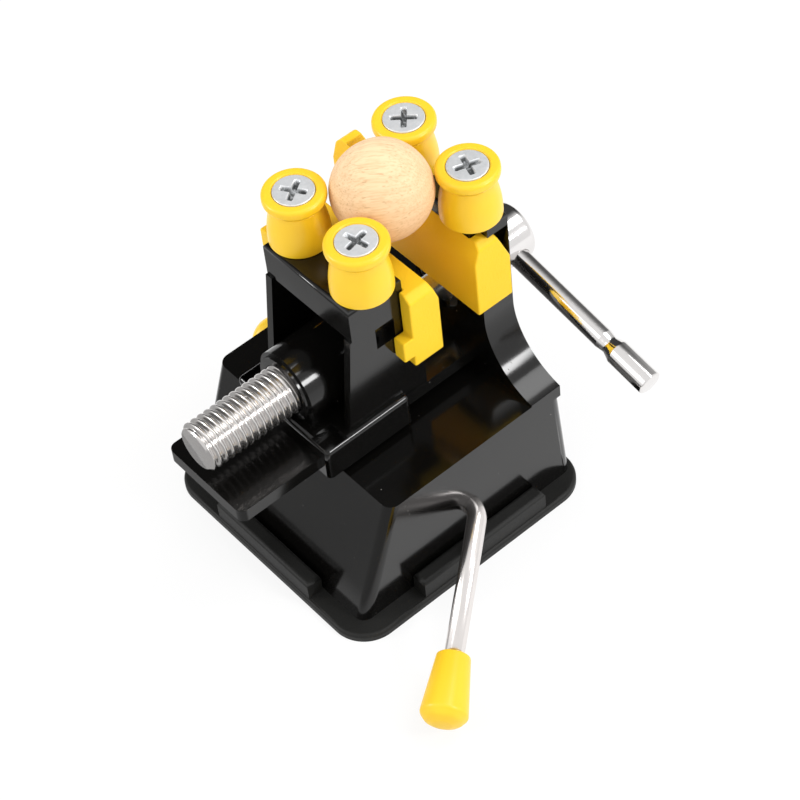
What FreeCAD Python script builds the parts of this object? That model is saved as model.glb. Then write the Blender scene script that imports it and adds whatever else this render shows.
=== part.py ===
import FreeCAD, Part
import math
import os

import Sketcher

# A small suction-base bench vise that holds a wooden ball between four soft posts.
# Millimetres. +Z is up, +X points from the open end of the rail to the tommy bar, and -Y is the lever's side.
# The origin is the middle of the suction pad's flat underside.

# ---------------------------------------------------------------- driving dimensions

SIZES = {
    # rubber suction pad
    "pad_side": 70.0,
    "pad_corner": 8.6,
    "pad_thick": 2.0,
    "pad_edge_round": 0.9,
    "tab_rise": 5.0,
    "tab_thick": 4.0,
    "side_tab_long": 36.5,
    "front_tab_long": 32.8,
    "tab_round": 1.0,
    "tab_gap": 0.3,
    "well_floor": 0.9,
    # moulded base
    "base_top": 32.9,
    "base_half_wide": 30.1,
    "base_front_foot": -30.2,
    "base_front_top": -19.0,
    "base_back_foot": 33.5,
    "base_wall": 2.6,
    "base_ceiling": 3.0,
    "base_corner": 2.6,
    # rail on top of the base
    "rail_top": 39.8,
    "rail_plate": 3.4,
    "rail_half_wide": 12.9,
    "rail_end": -45.3,
    "rail_corner": 2.0,
    "web_half_wide": 7.0,
    "web_end": -39.0,
    # fixed jaw
    "wall_front": 22.5,
    "wall_back": 31.0,
    "wall_half_wide": 15.9,
    "sweep_radius": 17.5,
    "jaw_top": 78.0,
    "wall_top_round": 1.0,
    # moving jaw
    "foot_front": -23.3,
    "foot_back": 0.5,
    "foot_half_wide": 15.6,
    "foot_under": 34.6,
    "foot_top": 43.2,
    "foot_round": 1.2,
    "gib_half_gap": 9.0,
    "slide_gap": 0.1,
    "cheek_half_wide": 14.1,
    "cheek_wall": 2.0,
    "cheek_front_low": -15.4,
    "cheek_front_high": -12.2,
    "cheek_back_low": -1.0,
    "cheek_back_high": 0.8,
    "lip_front": -11.7,
    "lip_low": 69.0,
    "cap_back": 2.6,
    "ceiling_low": 74.8,
    "inner_wall": -3.4,
    "nose_front": 7.8,
    "nose_top": 72.2,
    "nose_low": 52.0,
    "nut_housing_half": 12.4,
    "barrel_radius": 8.8,
    "barrel_front": -21.5,
    "barrel_web_half": 6.4,
    "barrel_round": 0.9,
    "window_front": -5.5,
    "window_back": -0.4,
    "window_low": 62.0,
    "window_high": 68.0,
    "foot_pocket_long": 5.8,
    "foot_pocket_wide": 5.5,
    "foot_pocket_deep": 1.8,
    "foot_pocket_rim": 0.6,
    "screw_boss_half": 4.0,
    "screw_boss_low": 63.0,
    # jaw pads
    "pad_face": 1.7,
    "pad_above_axis": 3.0,
    "pad_high": 74.4,
    "pad_slope_low": 69.2,
    "pad_crown": 2.1,
    "wing_thick": 3.5,
    "moving_wing_back": 1.5,
    "hook_reach": 2.7,
    "hook_rise": 3.2,
    "hook_tall": 5.7,
    "fixed_wing_long": 8.2,
    "fixed_wing_slope": 3.7,
    "fixed_slope_low": 65.5,
    "fixed_notch": 2.6,
    "pad_far_end": 31.2,
    "pad_bevel": 1.6,
    "pad_clearance": 0.1,
    "pad_arch_gap": 1.5,
    # lead screw and its head
    "thread_radius": 5.9,
    "thread_pitch": 1.75,
    "thread_depth": 1.0,
    "thread_end_bevel": 0.8,
    "thread_end": -45.5,
    "thread_start": 8.6,
    "journal_radius": 5.0,
    "screw_neck_radius": 2.8,
    "spigot_radius": 4.0,
    "spigot_long": 5.6,
    "spigot_spare": 0.4,
    "running_gap": 0.05,
    "thread_gap": 0.1,
    "washer_thick": 0.7,
    "washer_radius": 7.0,
    "axial_gap": 0.1,
    "clip_radius": 6.7,
    "clip_thick": 1.0,
    "clip_groove": 0.6,
    "clip_collar": 0.6,
    "clip_room": 0.3,
    "head_radius": 7.15,
    "head_long": 14.8,
    "head_round": 1.6,
    "nut_flats": 18.0,
    "nut_long": 10.0,
    "nut_inset": 0.8,
    "nut_floor": 1.6,
    # tommy bar
    "bar_radius": 2.5,
    "bar_from_head": 9.7,
    "bar_droop": 12.33,
    "bar_neck": 35.0,
    "bar_neck_radius": 2.1,
    "bar_neck_long": 2.0,
    "bar_tip": 49.1,
    "bar_tip_radius": 3.0,
    "bar_bevel": 0.8,
    "button_radius": 3.4,
    "button_thick": 3.0,
    "button_floor": 0.9,
    "button_gap": 0.4,
    "button_round": 0.8,
    # posts and their screws
    "post_spacing": 20.3,
    "post_back_from_lip": 7.23,
    "post_back_from_wall": 5.09,
    "post_tall": 13.8,
    "post_flange_radius": 7.0,
    "post_flange_tall": 1.6,
    "post_foot_radius": 6.9,
    "post_foot_tall": 0.9,
    "post_waist_radius": 6.0,
    "post_rim_round": 0.5,
    "post_recess_deep": 0.5,
    "screw_radius": 2.5,
    "screw_long": 24.4,
    "screw_point": 1.0,
    "screw_hole_spare": 1.0,
    "screw_hole_wall": 0.2,
    "screw_head_radius": 4.59,
    "screw_head_cone": 2.1,
    "screw_head_bevel": 0.25,
    "screw_sink": 0.05,
    "recess_arm": 2.2,
    "recess_wide": 0.9,
    "recess_deep": 1.6,
    # suction lever
    "lever_wire": 2.25,
    "lever_shaft_x": 3.0,
    "lever_shaft_z": 15.5,
    "lever_bend": 5.2,
    "lever_bend_out": 2.55,
    "lever_yaw": 51.1,
    "lever_droop": 9.0,
    "lever_reach": 52.3,
    "crank_throw": 3.0,
    "crank_half_long": 6.0,
    "crank_slope": 3.5,
    "crank_bend": 3.0,
    "knob_long": 16.5,
    "knob_neck_radius": 3.8,
    "knob_radius": 5.4,
    "knob_dome": 2.6,
    "knob_floor": 4.2,
    "knob_rim_round": 0.5,
    "end_cap_long": 13.0,
    "end_cap_floor": 1.7,
    "socket_gap": 0.3,
    "end_cap_out": 1.0,
    # suction stem
    "stem_radius": 3.0,
    "stem_disc_radius": 12.0,
    "stem_disc_thick": 1.4,
    "stem_seat_gap": 0.3,
    "eye_half_thick": 3.5,
    "eye_wall": 3.2,
    "eye_gap": 0.2,
    "eye_outer_round": 2.5,
    "eye_inner_round": 0.8,
    "guide_low": 24.4,
    "guide_radius": 6.0,
    "stem_top": 29.5,
    "guide_depth": 2.6,
    # wooden ball
    "ball_radius": 11.2,
    "ball_below_post_top": 3.8,
}

# How far a cut runs past the face that it starts from, and a boss runs into what carries it.
OVER = 1.0

doc = FreeCAD.newDocument("ball_vise")
sheet = doc.addObject("Spreadsheet::Sheet", "Sizes")
for row, (alias, number) in enumerate(SIZES.items(), 1):
    sheet.set(f"A{row}", alias)
    sheet.set(f"B{row}", str(number))
    sheet.setAlias(f"B{row}", alias)
doc.recompute()


class Size:
    """A length or an angle of the sheet, or a sum of them, with the expression that gives it."""

    def __init__(self, value, text):
        self.value = value
        self.text = text

    def __add__(self, other):
        other = as_size(other)
        return Size(self.value + other.value, f"({self.text} + {other.text})")

    def __sub__(self, other):
        other = as_size(other)
        return Size(self.value - other.value, f"({self.text} - {other.text})")

    def __mul__(self, other):
        other = as_size(other)
        return Size(self.value * other.value, f"({self.text} * {other.text})")

    def __truediv__(self, other):
        other = as_size(other)
        return Size(self.value / other.value, f"({self.text} / {other.text})")

    def __radd__(self, other):
        return as_size(other) + self

    def __rsub__(self, other):
        return as_size(other) - self

    def __rmul__(self, other):
        return as_size(other) * self

    def __neg__(self):
        return as_size(0) - self


def as_size(number):
    """The number itself where it is a Size, or a Size that holds the plain number."""
    return number if isinstance(number, Size) else Size(float(number), repr(float(number)))


def sine(angle):
    """The sine of an angle in degrees."""
    return Size(math.sin(math.radians(angle.value)), f"sin({angle.text})")


def cosine(angle):
    """The cosine of an angle in degrees."""
    return Size(math.cos(math.radians(angle.value)), f"cos({angle.text})")


class Sheet:
    """Gives each size of the sheet by its name."""

    def __getattr__(self, alias):
        return Size(float(sheet.get(alias)), f"Sizes.{alias}")


size = Sheet()


# ---------------------------------------------------------------- sketches and bodies

def vector(u, v, w=0.0):
    """A point from Sizes or plain numbers."""
    return FreeCAD.Vector(as_size(u).value, as_size(v).value, as_size(w).value)


def arc_between(start, stop, radius):
    """The arc from start to stop whose centre lies to the left of that way where the radius is positive."""
    middle = (start + stop) * 0.5
    half = (stop - start).Length / 2
    along = (stop - start).normalize()
    left = FreeCAD.Vector(-along.y, along.x, 0)
    height = math.sqrt(max(radius * radius - half * half, 0.0))
    centre = middle + left * math.copysign(height, radius)
    circle = Part.Circle(centre, FreeCAD.Vector(0, 0, 1), abs(radius))
    first, last = (start, stop) if radius > 0 else (stop, start)
    angles = [math.atan2(end.y - centre.y, end.x - centre.x) for end in (first, last)]
    return Part.ArcOfCircle(circle, angles[0], angles[1])


def bind_constraint(sketch, constraint, number):
    """Adds a constraint whose value follows the sheet."""
    index = sketch.addConstraint(constraint)
    sketch.setExpression(f"Constraints[{index}]", as_size(number).text)


def draw_outline(sketch, outline):
    """A closed outline through its corners. A third number in a corner is the radius of the arc that follows
    it, which turns left where the radius is positive and right where it is negative."""
    ends = []
    first = sketch.GeometryCount
    count = len(outline)
    for place, corner in enumerate(outline):
        start = vector(corner[0], corner[1])
        after = outline[(place + 1) % count]
        stop = vector(after[0], after[1])
        if len(corner) == 2:
            sketch.addGeometry(Part.LineSegment(start, stop))
            ends.append((1, 2))
            continue
        radius = as_size(corner[2])
        sketch.addGeometry(arc_between(start, stop, radius.value))
        ends.append((1, 2) if radius.value > 0 else (2, 1))
    for place, corner in enumerate(outline):
        here = first + place
        after = (place + 1) % count
        joint = Sketcher.Constraint("Coincident", here, ends[place][1], first + after, ends[after][0])
        sketch.addConstraint(joint)
        u, v = as_size(corner[0]), as_size(corner[1])
        bind_constraint(sketch, Sketcher.Constraint("DistanceX", here, ends[place][0], u.value), u)
        bind_constraint(sketch, Sketcher.Constraint("DistanceY", here, ends[place][0], v.value), v)
        if len(corner) == 3:
            radius = as_size(corner[2])
            radius = radius if radius.value > 0 else -radius
            bind_constraint(sketch, Sketcher.Constraint("Radius", here, radius.value), radius)


def draw_circle(sketch, centre, radius):
    """A circle with its centre and radius on the sheet."""
    radius = as_size(radius)
    u, v = as_size(centre[0]), as_size(centre[1])
    here = sketch.GeometryCount
    sketch.addGeometry(Part.Circle(vector(u, v), FreeCAD.Vector(0, 0, 1), radius.value))
    bind_constraint(sketch, Sketcher.Constraint("DistanceX", here, 3, u.value), u)
    bind_constraint(sketch, Sketcher.Constraint("DistanceY", here, 3, v.value), v)
    bind_constraint(sketch, Sketcher.Constraint("Radius", here, radius.value), radius)


# The plane that a sketch lies on, for each axis that its solid is drawn out along. A sketch's own two
# directions are Y and Z, X and Z, or X and Y, and the last number is the way the plane faces along the axis.
PLANES = {"X": ("YZ_Plane", 1), "Y": ("XZ_Plane", -1), "Z": ("XY_Plane", 1)}


class Piece:
    """One body of the assembly, built feature by feature."""

    def __init__(self, label):
        self.body = doc.addObject("PartDesign::Body", label)
        self.body.Label = label
        self.planes = {feature.Role: feature for feature in self.body.Origin.OriginFeatures}

    def volume(self):
        """The volume so far."""
        doc.recompute()
        return self.body.Shape.Volume

    def sketch(self, axis, place=0.0):
        """An empty sketch across an axis, at a place along it."""
        plane, facing = PLANES[axis]
        sketch = self.body.newObject("Sketcher::SketchObject", f"{self.body.Label}_outline")
        sketch.AttachmentSupport = (self.planes[plane], [""])
        sketch.MapMode = "FlatFace"
        place = as_size(place) * facing
        sketch.setExpression(".AttachmentOffset.Base.z", place.text)
        return sketch

    def draw(self, axis, low, shapes):
        """A sketch that holds the given outlines and circles."""
        sketch = self.sketch(axis, low)
        for shape in shapes:
            if isinstance(shape, tuple):
                draw_circle(sketch, shape[:2], shape[2])
            else:
                draw_outline(sketch, shape)
        return sketch

    def extrude(self, kind, axis, low, high, shapes):
        """A pad or a pocket between two places along an axis."""
        low, high = as_size(low), as_size(high)
        start = low if PLANES[axis][1] > 0 else high
        before = self.volume() if kind == "Pocket" else 0.0
        sketch = self.draw(axis, start, shapes)
        feature = self.body.newObject(f"PartDesign::{kind}", f"{self.body.Label}_{kind.lower()}")
        feature.Profile = sketch
        feature.Reversed = kind == "Pocket"
        feature.setExpression("Length", (high - low).text)
        if kind == "Pocket" and self.volume() > before - 0.001:
            raise RuntimeError(f"a pocket of {self.body.Label} cuts nothing")

    def pad(self, axis, low, high, *shapes):
        """Material between two places along an axis. A shape is a list of corners or (u, v, radius)."""
        self.extrude("Pad", axis, low, high, shapes)

    def pocket(self, axis, low, high, *shapes):
        """A cut between two places along an axis."""
        self.extrude("Pocket", axis, low, high, shapes)

    def turn(self, kind, axis, outline):
        """A revolution or a groove of an outline about the X or the Z axis."""
        before = self.volume() if kind == "Groove" else 0.0
        sketch = self.draw("Y", 0.0, [outline])
        feature = self.body.newObject(f"PartDesign::{kind}", f"{self.body.Label}_{kind.lower()}")
        feature.Profile = sketch
        feature.ReferenceAxis = (self.planes[f"{axis}_Axis"], [""])
        if kind == "Groove" and self.volume() > before - 0.001:
            raise RuntimeError(f"a groove of {self.body.Label} cuts nothing")

    def dress(self, kind, radius, pick):
        """A fillet or a chamfer on each edge that the pick function chooses."""
        doc.recompute()
        tip = self.body.Tip
        names = [f"Edge{place}" for place, edge in enumerate(tip.Shape.Edges, 1) if pick(edge)]
        if not names:
            raise RuntimeError(f"no edge of {self.body.Label} to dress")
        feature = self.body.newObject(f"PartDesign::{kind}", f"{self.body.Label}_{kind.lower()}")
        feature.Base = (tip, names)
        feature.setExpression("Radius" if kind == "Fillet" else "Size", as_size(radius).text)
        doc.recompute()
        if "Invalid" in feature.State:
            raise RuntimeError(f"{feature.Label} failed: {feature.getStatusString()}")

    def fillet(self, radius, pick):
        """Rounds the chosen edges."""
        self.dress("Fillet", radius, pick)

    def chamfer(self, width, pick):
        """Bevels the chosen edges."""
        self.dress("Chamfer", width, pick)

    def move(self, x, y, z):
        """Puts the body's own origin at a place in the assembly."""
        for axis, place in zip("xyz", (x, y, z)):
            self.body.setExpression(f"Placement.Base.{axis}", as_size(place).text)


def box_outline(left, right, low, high):
    """Four corners."""
    return [(left, low), (right, low), (right, high), (left, high)]


def near(value, goal, reach=0.01):
    """Whether two lengths agree."""
    return abs(value - as_size(goal).value) < reach


def along(edge, axis):
    """Whether an edge is a straight line along an axis."""
    if edge.Curve.TypeId != "Part::GeomLine":
        return False
    way = edge.Curve.Direction
    return near(abs({"X": way.x, "Y": way.y, "Z": way.z}[axis]), 1.0)


def flat_at(edge, axis, place):
    """Whether a whole edge lies in the plane across an axis at a place."""
    box = edge.BoundBox
    low, high = {"X": (box.XMin, box.XMax), "Y": (box.YMin, box.YMax), "Z": (box.ZMin, box.ZMax)}[axis]
    return near(low, place) and near(high, place)


# ---------------------------------------------------------------- places that several pieces share

stem_x = as_size(0.0)
stem_y = as_size(0.0)
base_foot = size.pad_thick
ceiling = size.base_top - size.base_ceiling
rail_under = size.rail_top - size.rail_plate
rail_floor = size.rail_top + size.slide_gap
axis_height = rail_floor + size.nut_floor + size.nut_flats / 2
pad_low = axis_height + size.pad_above_axis
moving_post_x = size.lip_front + size.post_back_from_lip
fixed_post_x = size.wall_back - size.post_back_from_wall
post_top = size.jaw_top + size.post_tall
screw_hole = size.screw_radius + size.running_gap
post_y = size.post_spacing / 2
fixed_neck_half = post_y + screw_hole + size.screw_hole_wall
screw_tip = post_top - size.screw_long
thread_bore = size.thread_radius + size.thread_gap
head_start = size.wall_back + size.washer_thick + size.axial_gap
collar_front = size.wall_front + size.axial_gap
clip_front = collar_front + size.clip_collar + size.axial_gap
clip_back = clip_front + size.clip_thick
clip_room_back = clip_back + size.axial_gap * 2
bar_x = head_start + size.bar_from_head
bar_hole = size.bar_radius + size.running_gap
nut_back = size.nose_front - size.nut_inset
nut_front = nut_back - size.nut_long
pad_arch = size.thread_radius + size.pad_arch_gap
pad_far_inner = size.pad_far_end - size.wing_thick
lever_hole = size.lever_wire + size.running_gap
well_radius = size.stem_disc_radius + size.stem_seat_gap
stem_bore_top = size.stem_top + size.crank_throw * math.sqrt(2) + size.guide_depth / 2
button_start = size.head_radius + size.button_gap
bar_far_end = button_start + size.button_thick - size.button_floor
crank_drop = size.crank_throw / math.sqrt(2)
crank_x = size.lever_shaft_x - crank_drop
crank_z = size.lever_shaft_z - crank_drop


# ---------------------------------------------------------------- suction base

def suction_pad():
    """The rubber pad: a rounded square with a well for the stem's disc and three tabs that hug the base."""
    pad = Piece("suction_pad")
    half = size.pad_side / 2
    pad.pad("Z", 0, size.pad_thick, box_outline(-half, half, -half, half))
    pad.fillet(size.pad_corner, lambda edge: along(edge, "Z"))
    pad.fillet(size.pad_edge_round, lambda edge: flat_at(edge, "Z", size.pad_thick))
    pad.pocket("Z", size.well_floor, size.pad_thick, (stem_x, stem_y, well_radius))
    tab_top = size.pad_thick + size.tab_rise
    side_low = size.base_half_wide + size.tab_gap
    side_high = side_low + size.tab_thick
    left = size.lever_shaft_x - size.side_tab_long / 2
    right = size.lever_shaft_x + size.side_tab_long / 2
    tab_root = size.pad_thick / 2
    for low, high in ((side_low, side_high), (-side_high, -side_low)):
        pad.pad("Z", tab_root, tab_top, box_outline(left, right, low, high))
    front_high = size.base_front_foot - size.tab_gap
    front_low = front_high - size.tab_thick
    front_half = size.front_tab_long / 2
    pad.pad("Z", tab_root, tab_top, box_outline(front_low, front_high, -front_half, front_half))
    pad.fillet(size.tab_round, lambda edge: flat_at(edge, "Z", tab_top))
    return pad


def base_outline(inset, low, high):
    """The base seen from the side: its front slopes most. Inset walls give the hollow's outline."""
    slope_front = (size.base_front_top - size.base_front_foot) / (size.base_top - base_foot)
    slope_back = (size.base_back_foot - size.wall_back) / (size.base_top - base_foot)
    front_low = size.base_front_foot + slope_front * (low - base_foot) + inset
    front_high = size.base_front_foot + slope_front * (high - base_foot) + inset
    back_low = size.base_back_foot - slope_back * (low - base_foot) - inset
    back_high = size.base_back_foot - slope_back * (high - base_foot) - inset
    return [(front_low, low), (back_low, low), (back_high, high), (front_high, high)]


def base_body():
    """The moulded base: a hollow box, the rail over it, the fixed jaw, and the stem's guide inside."""
    base = Piece("base_body")
    half = size.base_half_wide
    base.pad("Y", -half, half, base_outline(as_size(0.0), base_foot, size.base_top))
    base.fillet(size.base_corner, upright_corner)
    inner = half - size.base_wall
    base.pocket("Y", -inner, inner, base_outline(size.base_wall, base_foot, ceiling))
    base.pad("Z", size.guide_low, ceiling + size.base_ceiling / 2, (stem_x, stem_y, size.guide_radius))
    fixed_jaw(base)
    rail(base)
    base.pocket("Z", size.guide_low, stem_bore_top, (stem_x, stem_y, size.stem_radius + size.running_gap))
    base.pocket("Y", -half, half, (size.lever_shaft_x, size.lever_shaft_z, lever_hole))
    journal_hole = size.journal_radius + size.running_gap
    base.pocket("X", size.wall_front, size.wall_back, (0, axis_height, journal_hole))
    clip_hole = size.clip_radius + size.clip_room
    base.pocket("X", size.wall_front, clip_room_back, (0, axis_height, clip_hole))
    hole_floor = screw_tip - size.screw_hole_spare
    for side in (-1, 1):
        base.pocket("Z", hole_floor, size.jaw_top, (fixed_post_x, post_y * side, screw_hole))
    return base


def upright_corner(edge):
    """An edge of the base that runs up one of its four corners."""
    box = edge.BoundBox
    return box.ZLength > (size.base_top - base_foot).value - 0.01


def fixed_jaw(base):
    """The upright jaw: a slab whose sides sweep out to the base, necked and notched for the pad's wings."""
    half = size.base_half_wide
    top_half = size.wall_half_wide
    outline = [(-half, ceiling), (half, ceiling), (half, axis_height), (top_half, axis_height),
               (top_half, size.jaw_top), (-top_half, size.jaw_top), (-top_half, axis_height),
               (-half, axis_height)]
    base.pad("X", size.wall_front, size.wall_back, outline)
    sweep_y = top_half + size.sweep_radius
    for side in (-1, 1):
        sweep = (sweep_y * side, axis_height, size.sweep_radius)
        base.pocket("X", size.wall_front, size.wall_back, sweep)
    base.fillet(size.wall_top_round, lambda edge: flat_at(edge, "Z", size.jaw_top))
    neck_back = size.wall_front + size.fixed_wing_long + size.pad_clearance
    neck_low = pad_low - size.pad_clearance
    neck_high = size.pad_high + size.pad_clearance
    side = top_half + OVER
    front = size.wall_front - OVER
    notch = size.wall_front + size.fixed_notch
    for low, high in ((fixed_neck_half, side), (-side, -fixed_neck_half)):
        base.pocket("Z", pad_low, size.jaw_top, box_outline(front, notch, low, high))
        base.pocket("Z", neck_low, neck_high, box_outline(front, neck_back, low, high))


def rail(base):
    """The T-shaped rail: a web on the base and the plate that the moving jaw's foot wraps."""
    back = size.wall_front + OVER
    web_top = size.rail_top - OVER
    web = [(size.base_front_top, ceiling), (back, ceiling), (back, web_top), (size.web_end, web_top),
           (size.web_end, rail_under)]
    base.pad("Y", -size.web_half_wide, size.web_half_wide, web)
    plate = box_outline(size.rail_end, back, -size.rail_half_wide, size.rail_half_wide)
    base.pad("Z", rail_under, size.rail_top, plate)
    base.fillet(size.rail_corner, lambda edge: along(edge, "Z") and flat_at(edge, "X", size.rail_end))


def suction_stem():
    """The stem that the lever lifts: a disc in the pad's well, an eye round the crank and a guided top."""
    stem = Piece("suction_stem")
    disc_low = size.well_floor + size.stem_seat_gap
    disc_high = disc_low + size.stem_disc_thick
    radius = size.stem_radius
    stem.turn("Revolution", "Z", [(0, disc_low), (size.stem_disc_radius, disc_low),
                                  (size.stem_disc_radius, disc_high), (radius, disc_high),
                                  (radius, size.stem_top), (0, size.stem_top)])
    reach = size.lever_wire + size.eye_gap
    pin_least = size.lever_shaft_x - size.crank_throw
    left = pin_least - reach
    right = crank_x + reach
    low = crank_z - reach
    high = crank_z + reach
    wall = size.eye_wall
    stem.pad("Y", -size.eye_half_thick, size.eye_half_thick,
             box_outline(left - wall, right + wall, low - wall, high + wall))
    stem.fillet(size.eye_outer_round, lambda edge: along(edge, "Y"))
    stem.pocket("Y", -size.eye_half_thick, size.eye_half_thick, box_outline(left, right, low, high))
    stem.fillet(size.eye_inner_round, lambda edge: along(edge, "Y") and inside_eye(edge, left, right))
    return stem


def inside_eye(edge, left, right):
    """Whether an edge is one of the slot's own corners."""
    x = edge.BoundBox.XMin
    return near(x, left) or near(x, right)


# ---------------------------------------------------------------- bent wire lever

def rounded_wire(points, radii):
    """A path of straight runs joined by tangent arcs, one radius for each inner point."""
    edges = []
    here = points[0]
    for place, radius in enumerate(radii, 1):
        corner = points[place]
        back = (points[place - 1] - corner).normalize()
        ahead = (points[place + 1] - corner).normalize()
        half_turn = (math.pi - back.getAngle(ahead)) / 2
        tangent = radius * math.tan(half_turn)
        first = corner + back * tangent
        last = corner + ahead * tangent
        inward = (back + ahead).normalize()
        middle = corner + inward * (radius / math.cos(half_turn) - radius)
        edges.append(Part.LineSegment(here, first).toShape())
        edges.append(Part.Arc(first, middle, last).toShape())
        here = last
    edges.append(Part.LineSegment(here, points[-1]).toShape())
    return Part.Wire(edges)


def swept_rod(path, radius):
    """A round rod along a path."""
    start = path.Edges[0].firstVertex().Point
    way = path.Edges[0].tangentAt(path.Edges[0].FirstParameter)
    ring = Part.Wire([Part.Circle(start, way, radius).toShape()])
    return path.makePipeShell([ring], True, True)


yaw = math.radians(size.lever_yaw.value)
droop = math.radians(size.lever_droop.value)
lever_way = FreeCAD.Vector(-math.sin(yaw) * math.cos(droop), -math.cos(yaw) * math.cos(droop),
                           -math.sin(droop))
lever_corner = vector(size.lever_shaft_x, -(size.base_half_wide + size.lever_bend_out), size.lever_shaft_z)
knob_start = lever_corner + lever_way * (size.lever_reach - size.knob_long).value
knob_socket = size.knob_long - size.knob_floor


def lever_rod():
    """The steel wire: a shaft through the base, a crank in the middle of it and the bent handle."""
    shaft_x, shaft_z = size.lever_shaft_x, size.lever_shaft_z
    crank_y = size.crank_half_long
    slope_y = crank_y + size.crank_slope
    cap_start = size.base_half_wide + size.end_cap_out
    far = cap_start + size.end_cap_long - size.end_cap_floor - size.socket_gap
    points = [vector(shaft_x, far, shaft_z), vector(shaft_x, slope_y, shaft_z),
              vector(crank_x, crank_y, crank_z), vector(crank_x, -crank_y, crank_z),
              vector(shaft_x, -slope_y, shaft_z), lever_corner,
              knob_start + lever_way * (knob_socket - size.socket_gap).value]
    bend = size.crank_bend.value
    path = rounded_wire(points, [bend, bend, bend, bend, size.lever_bend.value])
    rod = doc.addObject("Part::Feature", "lever_rod")
    rod.Label = "lever_rod"
    rod.Shape = swept_rod(path, size.lever_wire.value)
    return rod


def knob_piece(label, length, neck, radius, dome, depth):
    """A moulded knob that is pushed on a rod: it widens from its neck and ends in a dome."""
    knob = Piece(label)
    socket = size.lever_wire + size.running_gap
    dome_radius = (radius * radius + dome * dome) / (dome * 2)
    knob.turn("Revolution", "Z", [(socket, 0), (neck, 0), (radius, length - dome, dome_radius), (0, length),
                                  (0, depth), (socket, depth)])
    rim = size.knob_rim_round
    knob.fillet(rim, lambda edge: flat_at(edge, "Z", 0) and near(edge.BoundBox.XLength, neck * 2))
    return knob


def lever_knob():
    """The knob on the handle's end."""
    knob = knob_piece("lever_knob", size.knob_long, size.knob_neck_radius, size.knob_radius, size.knob_dome,
                      knob_socket)
    doc.recompute()
    knob.body.Placement = FreeCAD.Placement(knob_start, FreeCAD.Rotation(FreeCAD.Vector(0, 0, 1), lever_way))
    return knob


def lever_end_cap():
    """The cap that keeps the shaft from sliding out on the far side."""
    cap = knob_piece("lever_end_cap", size.end_cap_long, size.knob_neck_radius, size.knob_radius,
                     size.knob_dome, size.end_cap_long - size.end_cap_floor)
    place = vector(size.lever_shaft_x, size.base_half_wide + size.end_cap_out, size.lever_shaft_z)
    doc.recompute()
    cap.body.Placement = FreeCAD.Placement(place, FreeCAD.Rotation(FreeCAD.Vector(1, 0, 0), -90))
    return cap


# ---------------------------------------------------------------- moving jaw

def moving_jaw():
    """The sliding jaw: a foot that wraps the rail, two cheeks, a lip, a barrel for the screw and a nose."""
    jaw = Piece("moving_jaw")
    foot_half = size.foot_half_wide
    foot = box_outline(size.foot_front, size.foot_back, -foot_half, foot_half)
    jaw.pad("Z", size.foot_under, size.foot_top, foot)
    jaw.fillet(size.foot_round, lambda edge: along(edge, "Z") or flat_at(edge, "Z", size.foot_top))
    cheek = size.cheek_half_wide
    root = size.foot_top - OVER
    side = [(size.cheek_front_low, root), (size.cheek_back_low, root),
            (size.cheek_back_high, size.lip_low), (size.cheek_back_high, size.nose_top),
            (size.cap_back, size.nose_top), (size.cap_back, size.jaw_top), (size.lip_front, size.jaw_top),
            (size.lip_front, size.lip_low), (size.cheek_front_high, size.lip_low)]
    jaw.pad("Y", -cheek, cheek, side)
    jaw.fillet(size.wall_top_round, lambda edge: flat_at(edge, "Z", size.jaw_top))
    inner = cheek - size.cheek_wall
    front = size.cheek_front_low - OVER
    jaw.pocket("Z", size.foot_top, size.lip_low, box_outline(front, size.inner_wall, -inner, inner))
    lip_back = size.lip_front + size.cheek_wall
    jaw.pocket("Z", size.lip_low, size.ceiling_low, box_outline(lip_back, size.inner_wall, -inner, inner))
    screw_bosses(jaw)
    nose(jaw)
    screw_barrel(jaw)
    rail_channel(jaw)
    side_details(jaw)
    for side in (-1, 1):
        hole = (moving_post_x, post_y * side, screw_hole)
        jaw.pocket("Z", screw_tip - size.screw_hole_spare, size.jaw_top, hole)
    return jaw


def screw_bosses(jaw):
    """Two blocks inside the cheeks under the jaw's top, which the posts' screws are driven into."""
    half = size.screw_boss_half
    for side in (-1, 1):
        low, high = both_ways(post_y - half, size.cheek_half_wide - size.cheek_wall / 2, side)
        block = box_outline(moving_post_x - half, moving_post_x + half, low, high)
        jaw.pad("Z", size.screw_boss_low, size.ceiling_low + OVER, block)


def both_ways(inner, outer, side):
    """The lower and the higher of two places, on the near side (-1) or the far side (1)."""
    return (inner, outer) if side > 0 else (-outer, -inner)


def nose(jaw):
    """The block behind the pad, with the housing of the nut below it."""
    half = size.cheek_half_wide - size.pad_clearance
    front = size.inner_wall + OVER
    jaw.pad("Y", -half, half, box_outline(front, size.nose_front, size.nose_low, size.nose_top))
    housing = box_outline(size.inner_wall, size.nose_front, rail_floor, size.nose_low + OVER)
    jaw.pad("Y", -size.nut_housing_half, size.nut_housing_half, housing)


def screw_barrel(jaw):
    """The barrel round the screw, its web down to the foot, the bore and the six-sided pocket of the nut."""
    height = axis_height
    rim = size.barrel_round
    back = size.inner_wall + OVER
    jaw.pad("X", size.barrel_front, back, (0, height, size.barrel_radius - rim))
    jaw.pad("X", size.barrel_front + rim, back, (0, height, size.barrel_radius))
    web = box_outline(size.barrel_front + rim * 2, back, size.foot_top - OVER, height)
    jaw.pad("Y", -size.barrel_web_half, size.barrel_web_half, web)
    jaw.pocket("X", size.barrel_front, size.nose_front, (0, height, thread_bore))
    jaw.pocket("X", nut_front, size.nose_front, hexagon(size.nut_flats + size.pad_clearance, height))


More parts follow.
